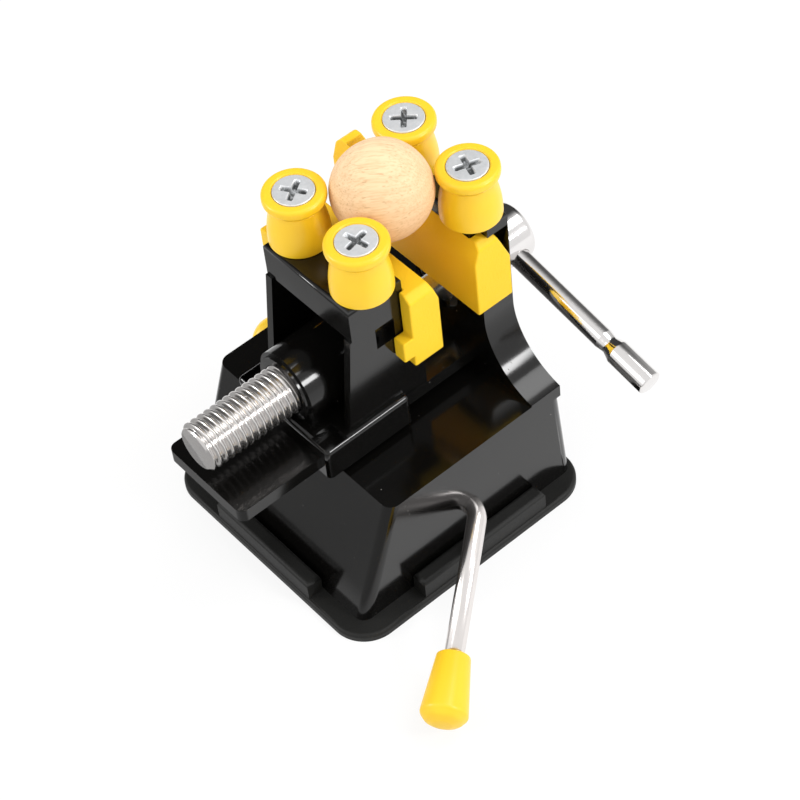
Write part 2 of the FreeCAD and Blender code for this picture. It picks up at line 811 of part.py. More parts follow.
def hexagon(flats, height):
    """Six corners across the X axis, with a flat on top."""
    half = flats / 2
    corner = flats / math.sqrt(3)
    return [(corner, height), (corner / 2, height + half), (-corner / 2, height + half),
            (-corner, height), (-corner / 2, height - half), (corner / 2, height - half)]


def rail_channel(jaw):
    """The T-shaped channel that runs on the rail."""
    gap = size.slide_gap
    plate = size.rail_half_wide + gap
    low = rail_under - gap
    jaw.pocket("X", size.foot_front, size.nose_front, box_outline(-plate, plate, low, rail_floor))
    between_gibs = box_outline(-size.gib_half_gap, size.gib_half_gap, size.foot_under, low)
    jaw.pocket("X", size.foot_front, size.foot_back, between_gibs)


def side_details(jaw):
    """The windows in the cheeks and the two shallow pockets in the foot."""
    cheek = size.cheek_half_wide
    window = box_outline(size.window_front, size.window_back, size.window_low, size.window_high)
    rim = size.foot_pocket_rim
    front = size.foot_front + rim
    pocket_out = size.foot_half_wide - rim
    floor = size.foot_top - size.foot_pocket_deep
    back = front + size.foot_pocket_long
    for side in (-1, 1):
        low, high = both_ways(cheek - size.cheek_wall, cheek, side)
        jaw.pocket("Y", low, high, window)
        low, high = both_ways(pocket_out - size.foot_pocket_wide, pocket_out, side)
        jaw.pocket("Z", floor, size.foot_top, box_outline(front, back, low, high))


def jaw_nut():
    """The steel nut in the moving jaw."""
    nut = Piece("jaw_nut")
    nut.pad("X", nut_front, nut_back, hexagon(size.nut_flats, axis_height))
    nut.pocket("X", nut_front, nut_back, (0, axis_height, thread_bore))
    return nut


# ---------------------------------------------------------------- jaw pads

def bevel_ends(pad, outer):
    """Bevels the top edges of a cap's two ends."""
    def at_an_end(edge):
        return flat_at(edge, "Y", -outer) or flat_at(edge, "Y", size.pad_far_end)

    pad.chamfer(size.pad_bevel, lambda edge: flat_at(edge, "Z", size.pad_high) and at_an_end(edge))


def moving_jaw_pad():
    """The soft cap on the moving jaw: a face, a crown, wings with hooks, and an end past the far side."""
    pad = Piece("moving_jaw_pad")
    clear = size.pad_clearance
    inner = size.cheek_half_wide + clear
    outer = inner + size.wing_thick - clear
    face = size.nose_front + size.pad_face
    wing = size.moving_wing_back
    hook = wing - size.hook_reach
    hook_low = pad_low + size.hook_rise
    hook_high = hook_low + size.hook_tall
    side = [(face, pad_low), (face, size.pad_slope_low), (size.nose_front, size.pad_high),
            (wing, size.pad_high), (wing, hook_high), (hook, hook_high), (hook, hook_low),
            (wing, hook_low), (wing, pad_low)]
    pad.pad("Y", -outer, size.pad_far_end, side)
    bevel_ends(pad, outer)
    front = hook - OVER
    crown_low = size.pad_high - size.pad_crown
    below = box_outline(front, size.nose_front, pad_low - OVER, crown_low)
    behind = box_outline(front, size.cap_back + clear, crown_low - OVER, size.pad_high + OVER)
    for low, high in ((-inner, inner), (outer, pad_far_inner)):
        pad.pocket("Y", low, high, below)
        pad.pocket("Y", low, high, behind)
    pad.pocket("X", size.nose_front, face, (0, axis_height, pad_arch))
    return pad


def fixed_jaw_pad():
    """The soft cap on the fixed jaw: a face, wings in the jaw's necks, and an end past the far side."""
    pad = Piece("fixed_jaw_pad")
    clear = size.pad_clearance
    inner = fixed_neck_half + clear
    outer = inner + size.wing_thick - clear
    face = size.wall_front - size.pad_face
    back = size.wall_front + size.fixed_wing_long
    slope = back - size.fixed_wing_slope
    side = [(face, pad_low), (back, pad_low), (back, size.fixed_slope_low), (slope, size.pad_high),
            (size.wall_front, size.pad_high), (face, size.pad_slope_low)]
    pad.pad("Y", -outer, size.pad_far_end, side)
    bevel_ends(pad, outer)
    jaw_room = box_outline(size.wall_front, back + OVER, pad_low - OVER, size.pad_high + OVER)
    for low, high in ((-inner, inner), (outer, pad_far_inner)):
        pad.pocket("Y", low, high, jaw_room)
    return pad


# ---------------------------------------------------------------- lead screw

# The width of a thread's groove at its mouth and at its floor, as shares of the pitch.
GROOVE_MOUTH = 0.88
GROOVE_FLOOR = 0.12


def lead_screw():
    """The screw: the thread's grooves, a neck between the jaws, a journal and the head's spigot."""
    screw = Piece("lead_screw")
    crest = size.thread_radius
    end = size.thread_end
    start = size.thread_start
    spigot_end = head_start + size.spigot_long
    screw.turn("Revolution", "X", [(end, 0), (spigot_end, 0), (spigot_end, size.spigot_radius),
                                   (head_start, size.spigot_radius), (head_start, size.journal_radius),
                                   (collar_front, size.journal_radius),
                                   (collar_front, size.screw_neck_radius),
                                   (start, size.screw_neck_radius), (start, crest), (end, crest)])
    screw.chamfer(size.thread_end_bevel, lambda edge: flat_at(edge, "X", end))
    pitch = size.thread_pitch
    turns = math.floor((start - end).value / pitch.value) - 1
    root = crest - size.thread_depth
    middle = end + pitch
    half = pitch * GROOVE_MOUTH / 2
    flat = pitch * GROOVE_FLOOR / 2
    mouth = crest + size.running_gap
    outline = [(middle - half, mouth), (middle - flat, root), (middle + flat, root), (middle + half, mouth)]
    screw.turn("Groove", "X", outline)
    groove = screw.body.Tip
    pattern = screw.body.newObject("PartDesign::LinearPattern", "lead_screw_thread")
    pattern.Originals = [groove]
    pattern.Direction = (screw.planes["X_Axis"], [""])
    pattern.Occurrences = turns
    pattern.setExpression("Length", (pitch * (turns - 1)).text)
    screw.body.Tip = pattern
    groove_start = clip_front - size.axial_gap
    groove_end = clip_back + size.axial_gap
    clip_root = size.journal_radius - size.clip_groove
    screw.turn("Groove", "X", box_outline(groove_start, groove_end, clip_root, size.journal_radius + OVER))
    screw.move(0, 0, axis_height)
    return screw


# Half the width of the clip's mouth, as a share of the radius inside it.
CLIP_MOUTH = 0.7


def retaining_clip():
    """The clip in the journal's groove that keeps the screw in the fixed jaw."""
    clip = Piece("retaining_clip")
    inner = size.journal_radius - size.clip_groove + size.running_gap
    clip.pad("X", clip_front, clip_back, (0, 0, size.clip_radius), (0, 0, inner))
    mouth = inner * CLIP_MOUTH
    clip.pocket("X", clip_front, clip_back, box_outline(-mouth, mouth, -(size.clip_radius + OVER), 0))
    clip.move(0, 0, axis_height)
    return clip


def thrust_washer():
    """The washer between the fixed jaw and the screw's head."""
    washer = Piece("thrust_washer")
    hole = size.journal_radius + size.running_gap
    back = size.wall_back + size.washer_thick
    washer.pad("X", size.wall_back, back, (0, 0, size.washer_radius), (0, 0, hole))
    washer.move(0, 0, axis_height)
    return washer


def screw_head():
    """The bright head that the tommy bar slides through."""
    head = Piece("screw_head")
    end = head_start + size.head_long
    head.pad("X", head_start, end, (0, 0, size.head_radius))
    head.fillet(size.head_round, lambda edge: flat_at(edge, "X", end))
    socket_end = head_start + size.spigot_long + size.spigot_spare
    head.pocket("X", head_start, socket_end, (0, 0, size.spigot_radius + size.running_gap))
    hole = doc.addObject("Part::Cylinder", "bar_hole")
    hole.setExpression("Radius", bar_hole.text)
    half = size.head_radius + OVER
    hole.setExpression("Height", (half * 2).text)
    hole.Placement = bar_placement(-half)
    head.move(0, 0, axis_height)
    drilled = doc.addObject("Part::Cut", "drilled_head")
    drilled.Base = head.body
    drilled.Tool = hole
    drilled.Label = "screw_head_drilled"
    return drilled


def bar_placement(distance):
    """The place of a piece of the tommy bar: its own Z runs along the bar, up towards the far side."""
    angle = math.radians(size.bar_droop.value)
    way = FreeCAD.Vector(0, math.cos(angle), math.sin(angle))
    centre = vector(bar_x, 0, axis_height)
    turned = FreeCAD.Rotation(FreeCAD.Vector(0, 0, 1), way)
    return FreeCAD.Placement(centre + way * as_size(distance).value, turned)


def tommy_bar():
    """The bar, slid to the near side: a rod with a neck and a swaged tip."""
    bar = Piece("tommy_bar")
    radius = size.bar_radius
    neck = size.bar_neck_radius
    tip = size.bar_tip_radius
    neck_start = -size.bar_neck
    neck_end = neck_start - size.bar_neck_long
    bevel = size.bar_bevel
    bar.turn("Revolution", "Z", [(0, -size.bar_tip), (tip - bevel, -size.bar_tip),
                                 (tip, bevel - size.bar_tip), (tip, neck_end - bevel),
                                 (neck, neck_end), (neck, neck_start),
                                 (radius, neck_start + bevel), (radius, bar_far_end), (0, bar_far_end)])
    doc.recompute()
    bar.body.Placement = bar_placement(0)
    return bar


def bar_end_button():
    """The button pressed on the bar's far end."""
    button = Piece("bar_end_button")
    end = button_start + size.button_thick
    floor = bar_far_end + size.running_gap
    radius = size.button_radius
    button.turn("Revolution", "Z", [(bar_hole, button_start), (radius, button_start), (radius, end), (0, end),
                                    (0, floor), (bar_hole, floor)])
    button.fillet(size.button_round, lambda edge: flat_at(edge, "Z", end))
    doc.recompute()
    button.body.Placement = bar_placement(0)
    return button


# ---------------------------------------------------------------- posts

def post(label, x, y):
    """A soft spool with a recess for its screw's head."""
    spool = Piece(label)
    tall = size.post_tall
    seat = size.screw_head_radius + size.pad_clearance
    recess = tall - size.post_recess_deep
    cone_low = recess - size.screw_head_cone
    foot, waist, flange = size.post_foot_radius, size.post_waist_radius, size.post_flange_radius
    foot_top = size.post_foot_tall
    flange_low = tall - size.post_flange_tall
    middle = (foot_top + flange_low) / 2
    low_arc = bulge(middle - foot_top, foot - waist)
    high_arc = bulge(flange_low - middle, flange - waist)
    spool.turn("Revolution", "Z", [(screw_hole, 0), (foot, 0), (foot, foot_top, -low_arc),
                                   (waist, middle, -high_arc), (flange, flange_low), (flange, tall),
                                   (seat, tall), (seat, recess), (screw_hole, cone_low)])
    spool.fillet(size.post_rim_round, lambda edge: near(edge.BoundBox.XLength, flange * 2)
                 and (flat_at(edge, "Z", flange_low) or flat_at(edge, "Z", tall)))
    spool.move(x, y, size.jaw_top)
    return spool


def bulge(tall, wide):
    """The radius of an arc that starts upright and ends that much higher and wider."""
    return (tall * tall + wide * wide) / (wide * 2)


def post_screw(label, x, y, turn):
    """A countersunk screw with a cross recess, turned as it was driven."""
    screw = Piece(label)
    radius = size.screw_radius
    head = size.screw_head_radius
    cone = size.screw_head_cone
    recess = size.post_recess_deep
    top = size.post_tall - size.screw_sink
    bevel = size.screw_head_bevel
    point = size.screw_point
    cone_top = size.post_tall - recess
    tip = size.post_tall - size.screw_long
    screw.turn("Revolution", "Z", [(0, tip), (radius - point / 2, tip), (radius, tip + point),
                                   (radius, cone_top - cone), (head, cone_top), (head, top - bevel),
                                   (head - bevel, top), (0, top)])
    arm, half = size.recess_arm, size.recess_wide / 2
    screw.pocket("Z", top - size.recess_deep, top,
                 [(arm, -half), (arm, half), (half, half), (half, arm), (-half, arm), (-half, half),
                  (-arm, half), (-arm, -half), (-half, -half), (-half, -arm), (half, -arm), (half, -half)])
    doc.recompute()
    screw.body.Placement = FreeCAD.Placement(vector(x, y, size.jaw_top),
                                             FreeCAD.Rotation(FreeCAD.Vector(0, 0, 1), turn))
    return screw


# ---------------------------------------------------------------- ball

def wooden_ball():
    """The ball that the four posts hold."""
    ball = doc.addObject("Part::Sphere", "wooden_ball")
    ball.Label = "wooden_ball"
    ball.setExpression("Radius", size.ball_radius.text)
    ball.setExpression("Placement.Base.x", ((moving_post_x + fixed_post_x) / 2).text)
    ball.setExpression("Placement.Base.z", (post_top - size.ball_below_post_top).text)
    return ball


# ---------------------------------------------------------------- assembly

SCREW_TURNS = {"moving_near": 12.0, "moving_far": 33.0, "fixed_near": 71.0, "fixed_far": 48.0}


def build():
    """Every piece by its name."""
    makers = [suction_pad, base_body, suction_stem, lever_rod, lever_knob, lever_end_cap, moving_jaw, jaw_nut,
              moving_jaw_pad, fixed_jaw_pad, lead_screw, retaining_clip, thrust_washer, screw_head, tommy_bar,
              bar_end_button, wooden_ball]
    pieces = {maker.__name__: maker() for maker in makers}
    for side, y in (("near", -post_y), ("far", post_y)):
        for jaw, x in (("moving", moving_post_x), ("fixed", fixed_post_x)):
            place = f"{jaw}_{side}"
            pieces[f"post_{place}"] = post(f"post_{place}", x, y)
            pieces[f"post_screw_{place}"] = post_screw(f"post_screw_{place}", x, y, SCREW_TURNS[place])
    return pieces


pieces = build()
doc.recompute()

for item in doc.Objects:
    if "Invalid" in item.State or "Error" in item.State:
        raise RuntimeError(f"{item.Label} failed: {item.State}")

os.makedirs("parts", exist_ok=True)
for name, piece in pieces.items():
    item = piece.body if isinstance(piece, Piece) else piece
    if item.Shape.isNull() or not item.Shape.isValid():
        raise RuntimeError(f"{name} has no valid shape")
    item.Shape.exportStep(f"parts/{name}.step")
    box = item.Shape.optimalBoundingBox(False)
    print(f"{name}: {item.Shape.Volume:.1f} mm3, {len(item.Shape.Solids)} solid, "
          f"x {box.XMin:.1f} {box.XMax:.1f} y {box.YMin:.1f} {box.YMax:.1f} z {box.ZMin:.1f} {box.ZMax:.1f}")
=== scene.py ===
# %% [markdown]
# # A ball vise, dressed for its portrait
# A small suction-base vise holds a bare wooden ball between four soft yellow posts. The construction is
# already there as a fixed frame of plain solids. This lesson gives every visible piece its real surface:
# moulded black plastic with softly broken edges, satin yellow plastic, plated wire, a rolled thread and
# turned wood.
#
# Lengths are written in millimetres, as on a drawing, and turned into Blender's metres where a mesh is
# made.

# %% Load the frame
import math

import bmesh
import bpy
import numpy as np
from mathutils import Matrix, Vector


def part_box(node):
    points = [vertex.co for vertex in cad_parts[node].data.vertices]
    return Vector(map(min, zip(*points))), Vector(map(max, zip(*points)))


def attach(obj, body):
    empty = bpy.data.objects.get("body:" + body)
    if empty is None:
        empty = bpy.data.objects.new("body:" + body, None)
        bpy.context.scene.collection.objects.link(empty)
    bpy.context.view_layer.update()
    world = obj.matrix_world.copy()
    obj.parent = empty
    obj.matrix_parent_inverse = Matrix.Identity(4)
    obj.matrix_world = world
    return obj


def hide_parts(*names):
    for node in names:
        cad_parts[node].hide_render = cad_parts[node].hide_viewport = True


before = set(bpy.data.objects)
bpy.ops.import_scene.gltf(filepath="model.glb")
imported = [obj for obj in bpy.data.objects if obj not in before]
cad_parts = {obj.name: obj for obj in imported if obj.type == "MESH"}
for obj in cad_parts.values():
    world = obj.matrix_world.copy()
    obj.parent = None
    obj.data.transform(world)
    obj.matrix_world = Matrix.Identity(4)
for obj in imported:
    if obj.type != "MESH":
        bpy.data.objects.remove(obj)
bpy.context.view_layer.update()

MM = 0.001
TURN = 2 * math.pi


def span(node):
    """Lowest and highest corner of a solid in millimetres, as two arrays."""
    low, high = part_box(node)
    return np.array(low) / MM, np.array(high) / MM


# %% [markdown]
# ## Where the camera stands
# The camera looks down at the near corner of the base from the open end of the rail. Its place follows from
# a point it looks at, two angles and a distance, and a small roll tips the horizon. A long lens keeps the
# upright edges nearly parallel. A camera could also be placed by hand in the viewport, but angles and a
# distance can be read, and changed one at a time.

# %% Camera
LOOK_AT = np.array([-1.88, -14.89, 42.98])
CAMERA_TURN = math.radians(-35.43)
CAMERA_RISE = math.radians(49.68)
CAMERA_ROLL = math.radians(-7.07)
CAMERA_AWAY = 554.31
FOCAL_PIXELS = 2551.48
PICTURE_PIXELS = 800
SENSOR = 36.0

towards = np.array([math.sin(CAMERA_TURN) * math.cos(CAMERA_RISE),
                    -math.cos(CAMERA_TURN) * math.cos(CAMERA_RISE),
                    math.sin(CAMERA_RISE)])
level = np.cross(-towards, [0, 0, 1])
level /= np.linalg.norm(level)
upright = np.cross(level, -towards)
right = math.cos(CAMERA_ROLL) * level + math.sin(CAMERA_ROLL) * upright
up = math.cos(CAMERA_ROLL) * upright - math.sin(CAMERA_ROLL) * level
camera_data = bpy.data.cameras.new("portrait")
camera_data.sensor_width = SENSOR
camera_data.lens = FOCAL_PIXELS / PICTURE_PIXELS * SENSOR
camera_data.clip_start = 10 * MM
camera = bpy.data.objects.new("portrait", camera_data)
place = Matrix((right, up, towards)).transposed().to_4x4()
place.translation = Vector((LOOK_AT + towards * CAMERA_AWAY) * MM)
camera.matrix_world = place
bpy.context.scene.collection.objects.link(camera)
bpy.context.scene.camera = camera
bpy.context.scene.view_settings.view_transform = "Standard"
print("lens", round(camera_data.lens, 1), "mm")


# %% [markdown]
# ## Shader sums as plain sums
# A material is a net of nodes, and a net that is wired by hand is hard to read. The class Val wraps one
# socket, so that `1 - mask * 0.3` adds the two Math nodes by itself. The class Net holds a tree of nodes.
# Its method `node` makes any other node: first its settings, then the numbers or links of its inputs. A
# Finish is the net of one material.

# %% Sockets that add up
class Val:
    """An output socket that can be used in a sum."""

    def __init__(self, net, socket):
        self.net = net
        self.socket = socket

    def math(self, operation, first, second, clamp=False):
        """A Math node of two values."""
        settings = {"operation": operation, "use_clamp": clamp}
        return self.net.node("ShaderNodeMath", settings, [first, second])

    def __add__(self, other):
        return self.math("ADD", self, other)

    def __radd__(self, other):
        return self.math("ADD", other, self)

    def __sub__(self, other):
        return self.math("SUBTRACT", self, other)

    def __rsub__(self, other):
        return self.math("SUBTRACT", other, self)

    def __mul__(self, other):
        return self.math("MULTIPLY", self, other)

    def above(self, edge, soft):
        """Rises from 0 to 1 as the value passes an edge, over a soft width."""
        return self.math("DIVIDE", self - (edge - soft / 2), soft, clamp=True)

    def at_least(self, other):
        """The larger of two values."""
        return self.math("MAXIMUM", self, other)


class Net:
    """A tree of nodes: one method adds a node, and one fills a socket."""

    def __init__(self, tree):
        self.tree = tree

    def node(self, kind, settings=None, inputs=(), output=0):
        """Any node: its type, its settings, then its inputs by order or by name. Gives one output."""
        node = self.tree.nodes.new(kind)
        for name, value in (settings or {}).items():
            setattr(node, name, value)
        pairs = inputs.items() if isinstance(inputs, dict) else enumerate(inputs)
        for name, value in pairs:
            self.link(value, node.inputs[name])
        return Val(self, node.outputs[output])

    def link(self, value, socket):
        """Puts a number or a colour in a socket, or links another socket to it."""
        if isinstance(value, Val):
            self.tree.links.new(value.socket, socket)
        elif isinstance(value, tuple) and len(value) == 3 and socket.type == "RGBA":
            socket.default_value = (*value, 1.0)
        else:
            socket.default_value = value


class Finish(Net):
    """One material: a Principled surface and what feeds it."""

    def __init__(self, name, **sockets):
        self.material = bpy.data.materials.new(name)
        self.material.use_nodes = True
        super().__init__(self.material.node_tree)
        self.surface = self.tree.nodes["Principled BSDF"]
        self.place = self.node("ShaderNodeTexCoord", output="Object")
        self.feed(**sockets)
        print("finish", name)

    def feed(self, **sockets):
        """Sets or links the surface's own sockets, named with underscores for spaces."""
        for name, value in sockets.items():
            self.link(value, self.surface.inputs[name.replace("_", " ")])

    def noise(self, scale, detail=2.0, roughness=0.5, stretch=(1.0, 1.0, 1.0), warp=0.0):
        """Soft noise between 0 and 1. The scale is in features a metre."""
        place = self.node("ShaderNodeMapping", None, {"Vector": self.place, "Scale": stretch})
        return self.node("ShaderNodeTexNoise", None, {"Vector": place, "Scale": scale, "Detail": detail,
                                                     "Roughness": roughness, "Distortion": warp})

    def specks(self, scale, size):
        """Small round specks, one at most in each cell of a grid, that cover a share of the cell's width."""
        cells = self.node("ShaderNodeTexVoronoi", None, {"Vector": self.place, "Scale": scale})
        return 1 - cells.above(size, size)

    def blend(self, share, first, second):
        """A colour between two, by a share from 0 to 1. A Mix node keeps its colours in sockets 6 and 7."""
        return self.node("ShaderNodeMix", {"data_type": "RGBA"}, {0: share, 6: first, 7: second}, output=2)

    def relief(self, height, depth):
        """A Bump node from a height between 0 and 1, which stands for a depth in millimetres."""
        self.feed(Normal=self.node("ShaderNodeBump", None, {"Distance": depth * MM, "Height": height}))


# %% [markdown]
# ## Glossy black plastic
# The base and the jaws are moulded in black plastic that comes out of a polished mould. Its colour is
# nearly nothing: what the eye reads is the pale room mirrored in it, so the finish lives in the roughness
# and in a very low waviness, which bends the reflections as sink marks do. A few dust grains lie on it.
# Painted images could hold all this, but noise in space needs no unwrapping and runs on across every piece.

# %% Black plastic
BLACK = (0.0030, 0.0028, 0.0025)
DUST = (0.33, 0.31, 0.28)


def black_plastic():
    """Near-black, glossy, faintly wavy, with sparse dust where a broad noise is high."""
    finish = Finish("black_gloss", IOR=1.46)
    dust = finish.specks(420.0, 0.05) * finish.noise(90.0).above(0.56, 0.05)
    haze = finish.noise(160.0, 4.0)
    wave = finish.noise(70.0, 1.0)
    finish.feed(Base_Color=finish.blend(dust * 0.55, BLACK, DUST), Roughness=0.09 + haze * 0.07 + dust * 0.4)
    finish.relief(wave * 0.9 + dust * 0.1, 0.06)
    return finish.material


# %% [markdown]
# ## Rubber, stem and small steel parts
# The suction pad is a dull rubber with a fine grain. The stem inside the base is plain dark plastic, and
# the nut, the clip and the washer are plain steel with turning marks. One noise each, at the scale of the
# real grain, says enough: more layers would not be seen on pieces that are dark or hidden.

# %% Rubber and plain parts
def rubber():
    """Dull black with a fine grain."""
    finish = Finish("black_rubber", IOR=1.48, Specular_IOR_Level=0.3)
    grain = finish.noise(2600.0, 3.0)
    patch = finish.noise(120.0, 3.0)
    worn = finish.blend(patch, (0.006, 0.006, 0.0055), (0.011, 0.011, 0.010))
    finish.feed(Base_Color=worn, Roughness=0.48 + patch * 0.14)
    finish.relief(grain, 0.05)
    return finish.material


def inner_plastic():
    """Plain dark plastic for the stem."""
    finish = Finish("inner_plastic")
    patch = finish.noise(300.0, 3.0)
    finish.feed(Base_Color=finish.blend(patch, (0.04, 0.04, 0.042), (0.06, 0.06, 0.062)), Roughness=0.45)
    finish.relief(patch, 0.03)
    return finish.material


def plain_steel():
    """Grey steel with fine turning marks."""
    finish = Finish("plain_steel", Metallic=1.0)
    marks = finish.noise(900.0, 4.0, stretch=(0.15, 1.0, 1.0))
    lined = finish.blend(marks, (0.42, 0.42, 0.43), (0.62, 0.62, 0.63))
    finish.feed(Base_Color=lined, Roughness=0.25 + marks * 0.2)
    finish.relief(marks, 0.02)
    return finish.material


# %% [markdown]
# ## Three yellows
# The posts and the knobs are a satin nylon, smooth enough to show a soft sheen. The jaw caps are softer and
# carry a fine spark-eroded grain. All share one colour, which drifts very slightly, as filled plastic does.
# Three separate materials could be drawn, but one function keeps the colour the same and shows what
# differs.

# %% Yellow plastic
YELLOW = (0.91, 0.585, 0.02)
YELLOW_DEEP = (0.87, 0.53, 0.012)


def yellow(name, grain_depth, rough, sheen):
    """Satin yellow plastic with a fine grain of a given depth and a share of full shine."""
    finish = Finish(name, IOR=1.5, Specular_IOR_Level=sheen)
    drift = finish.noise(110.0, 2.0)
    grain = finish.noise(2400.0, 2.0)
    finish.feed(Base_Color=finish.blend(drift, YELLOW_DEEP, YELLOW), Roughness=rough + grain * 0.08)
    finish.relief(grain * 0.7 + finish.noise(260.0, 1.0) * 0.3, grain_depth)
    return finish.material


# %% [markdown]
# ## Plated and bright metal
# The screw's head and the bar are polished and plated, so they are mirrors with a trace of haze. The lever
# is a drawn wire, a little rougher. The thread is rolled, which leaves fine lines along it and a soft
# shine. The post screws are zinc plated: paler, mottled and blunt. Painted shade darkens the cross in
# blotches. It could be a material of its own on the cross's faces, but the height tells as much: what lies
# about half a millimetre under the head's top is inside the cross.

# %% Metals
SCREW_TOP = float(span("post_screw_moving_near")[1][2]) * MM
CROSS_SHADE = 0.45 * MM
CROSS_FADE = 0.5 * MM
# The colour of the painted shade inside the cross.
CROSS_PAINTED_SHADE = (0.07, 0.075, 0.075)


def bright_metal(name, colour, rough, haze, scratch_scale=900.0, scratch_depth=0.01, mirror=1.0):
    """A metal with a least roughness, more where a haze lies on it, fine scratches and a share of mirror."""
    finish = Finish(name, Metallic=mirror)
    cloud = finish.noise(220.0, 4.0)
    scratch = finish.noise(scratch_scale, 3.0, stretch=(1.0, 1.0, 0.2))
    dark = tuple(part * 0.9 for part in colour)
    finish.feed(Base_Color=finish.blend(cloud, dark, colour), Roughness=rough + cloud * haze)
    finish.relief(scratch, scratch_depth)
    return finish.material


def zinc():
    """Pale plated screw heads, mottled where the driver slipped, with painted shade in blotches inside the
    cross.
    """
    finish = Finish("zinc_screw", Metallic=0.45)
    mottle = finish.noise(900.0, 5.0, 0.65)
    stain_and_shade_blotch = finish.noise(420.0, 3.0, warp=1.5)
    height = finish.node("ShaderNodeSeparateXYZ", None, [finish.place], output="Z")
    # Painted shade: below the head's top the colour turns dark grey in blotches, inside the cross's recess.
    # The same blotch noise also varies the roughness.
    inside = (SCREW_TOP - CROSS_SHADE - height).above(0.0, CROSS_FADE) * stain_and_shade_blotch.above(0.42, 0.16)
    pale = finish.blend(mottle, (0.58, 0.60, 0.62), (0.86, 0.87, 0.88))
    finish.feed(Base_Color=finish.blend(inside * 0.9, pale, CROSS_PAINTED_SHADE), Roughness=0.34 + stain_and_shade_blotch * 0.2)
    finish.relief(mottle, 0.06)
    return finish.material


# %% [markdown]
# ## Bare turned wood
# The ball is turned from pale wood and left bare. A picture of wood could be wrapped round it, but it would
# stretch at the poles. Here the pattern fills space, as the grain fills the block: the rings are cylinders
# round the tree's axis, drawn from the distance to that axis and warped by noise. Short darker flecks lie
# along the fibres, and where the surface cuts across the fibres they turn into dots by themselves, because
# the noise is stretched along the axis. The ball's colour is painted paler towards its top and darker towards
# its bottom, as painted light from above, and a broad noise also varies that tone at random.

# %% Wood
BALL_LOW, BALL_HIGH = span("wooden_ball")
BALL_CENTRE = (BALL_LOW + BALL_HIGH) / 2
BALL_RADIUS = float((BALL_HIGH[0] - BALL_LOW[0]) / 2)
FIBRE_TURN = (0.0, math.radians(86), math.radians(-42))
FIBRE_STRETCH = (1.0, 1.0, 0.09)
TREE_MIDDLE = (13 * MM, 4 * MM, 0.0)
RING_RATE = 2600.0
# The darker and paler ends of the wood's tone: a broad noise mixes them at random, and the height paints
# light on the top and shade on the bottom.
WOOD_DARK_TONE_AND_SHADE = (0.69, 0.39, 0.18)
WOOD_PALE_TONE_AND_LIGHT = (0.90, 0.66, 0.41)
LATEWOOD = (0.52, 0.27, 0.10)
PORE = (0.40, 0.20, 0.08)


def ball_wood():
    """Rings, fibres and pores about an axis that lies nearly level, across the view."""
    finish = Finish("ball_wood", IOR=1.45, Specular_IOR_Level=0.3)
    grain = finish.node("ShaderNodeMapping", {"vector_type": "TEXTURE"},
                        {"Vector": finish.place, "Location": tuple(BALL_CENTRE * MM), "Rotation": FIBRE_TURN})
    along_fibres = finish.node("ShaderNodeMapping", None, {"Vector": grain, "Scale": FIBRE_STRETCH})

    def stretched_noise(scale, detail):
        """Noise that is about eleven times as long along the fibres as across them."""
        return finish.node("ShaderNodeTexNoise", None,
                           {"Vector": along_fibres, "Scale": scale, "Detail": detail})

    wobble = stretched_noise(160.0, 2.0)
    fibre = stretched_noise(2400.0, 3.0)
    fleck = stretched_noise(2600.0, 1.0)
    offset = finish.node("ShaderNodeVectorMath", {"operation": "ADD"}, [along_fibres, TREE_MIDDLE])
    across = finish.node("ShaderNodeVectorMath", {"operation": "MULTIPLY"}, [offset, (1.0, 1.0, 0.0)])
    radius = finish.node("ShaderNodeVectorMath", {"operation": "LENGTH"}, [across], output="Value")
    ring = finish.node("ShaderNodeMath", {"operation": "SINE"}, [radius * RING_RATE + wobble * 5.0])
    cloud = finish.noise(75.0, 2.0)
    height = finish.node("ShaderNodeSeparateXYZ", None, [finish.place], output="Z")
    # Painted light and shade: the colour turns paler towards the ball's top and darker towards its bottom, as
    # if lit from above.
    painted_light_share_up = (height - float(BALL_LOW[2]) * MM) * (0.5 / (BALL_RADIUS * MM))
    colour = finish.blend(painted_light_share_up + (cloud - 0.5) * 0.5, WOOD_DARK_TONE_AND_SHADE, WOOD_PALE_TONE_AND_LIGHT)
    colour = finish.blend((ring * 0.5 + 0.5) * 0.13, colour, LATEWOOD)
    colour = finish.blend(fibre.above(0.56, 0.2) * 0.28, colour, LATEWOOD)
    colour = finish.blend(fleck.above(0.68, 0.08) * 0.4, colour, PORE)
    finish.feed(Base_Color=colour, Roughness=0.5 + fibre * 0.16)
    finish.relief(fibre * 0.6 + fleck * 0.4, 0.03)
    return finish.material


# %% [markdown]
# ## One table of finishes
# Every piece takes its material from this table by the name of its slot. Each material could be made where
# its piece is, but then pieces that share a finish would each carry a copy.

# %% Make every finish once
FINISHES = {
    "black_gloss": black_plastic(),
    "black_rubber": rubber(),
    "inner_plastic": inner_plastic(),
    "plain_steel": plain_steel(),
    "yellow_post": yellow("yellow_post", 0.02, 0.30, 0.5),
    "yellow_knob": yellow("yellow_knob", 0.02, 0.32, 0.5),
    "yellow_pad": yellow("yellow_pad", 0.12, 0.42, 0.25),
    "chrome_head": bright_metal("chrome_head", (0.82, 0.80, 0.79), 0.06, 0.07),
    "bright_wire": bright_metal("bright_wire", (0.83, 0.79, 0.77), 0.14, 0.10),
    "thread_steel": bright_metal("thread_steel", (0.68, 0.66, 0.645), 0.13, 0.12, 1500.0, 0.02, 0.95),
    "zinc_screw": zinc(),
    "ball_wood": ball_wood(),
}


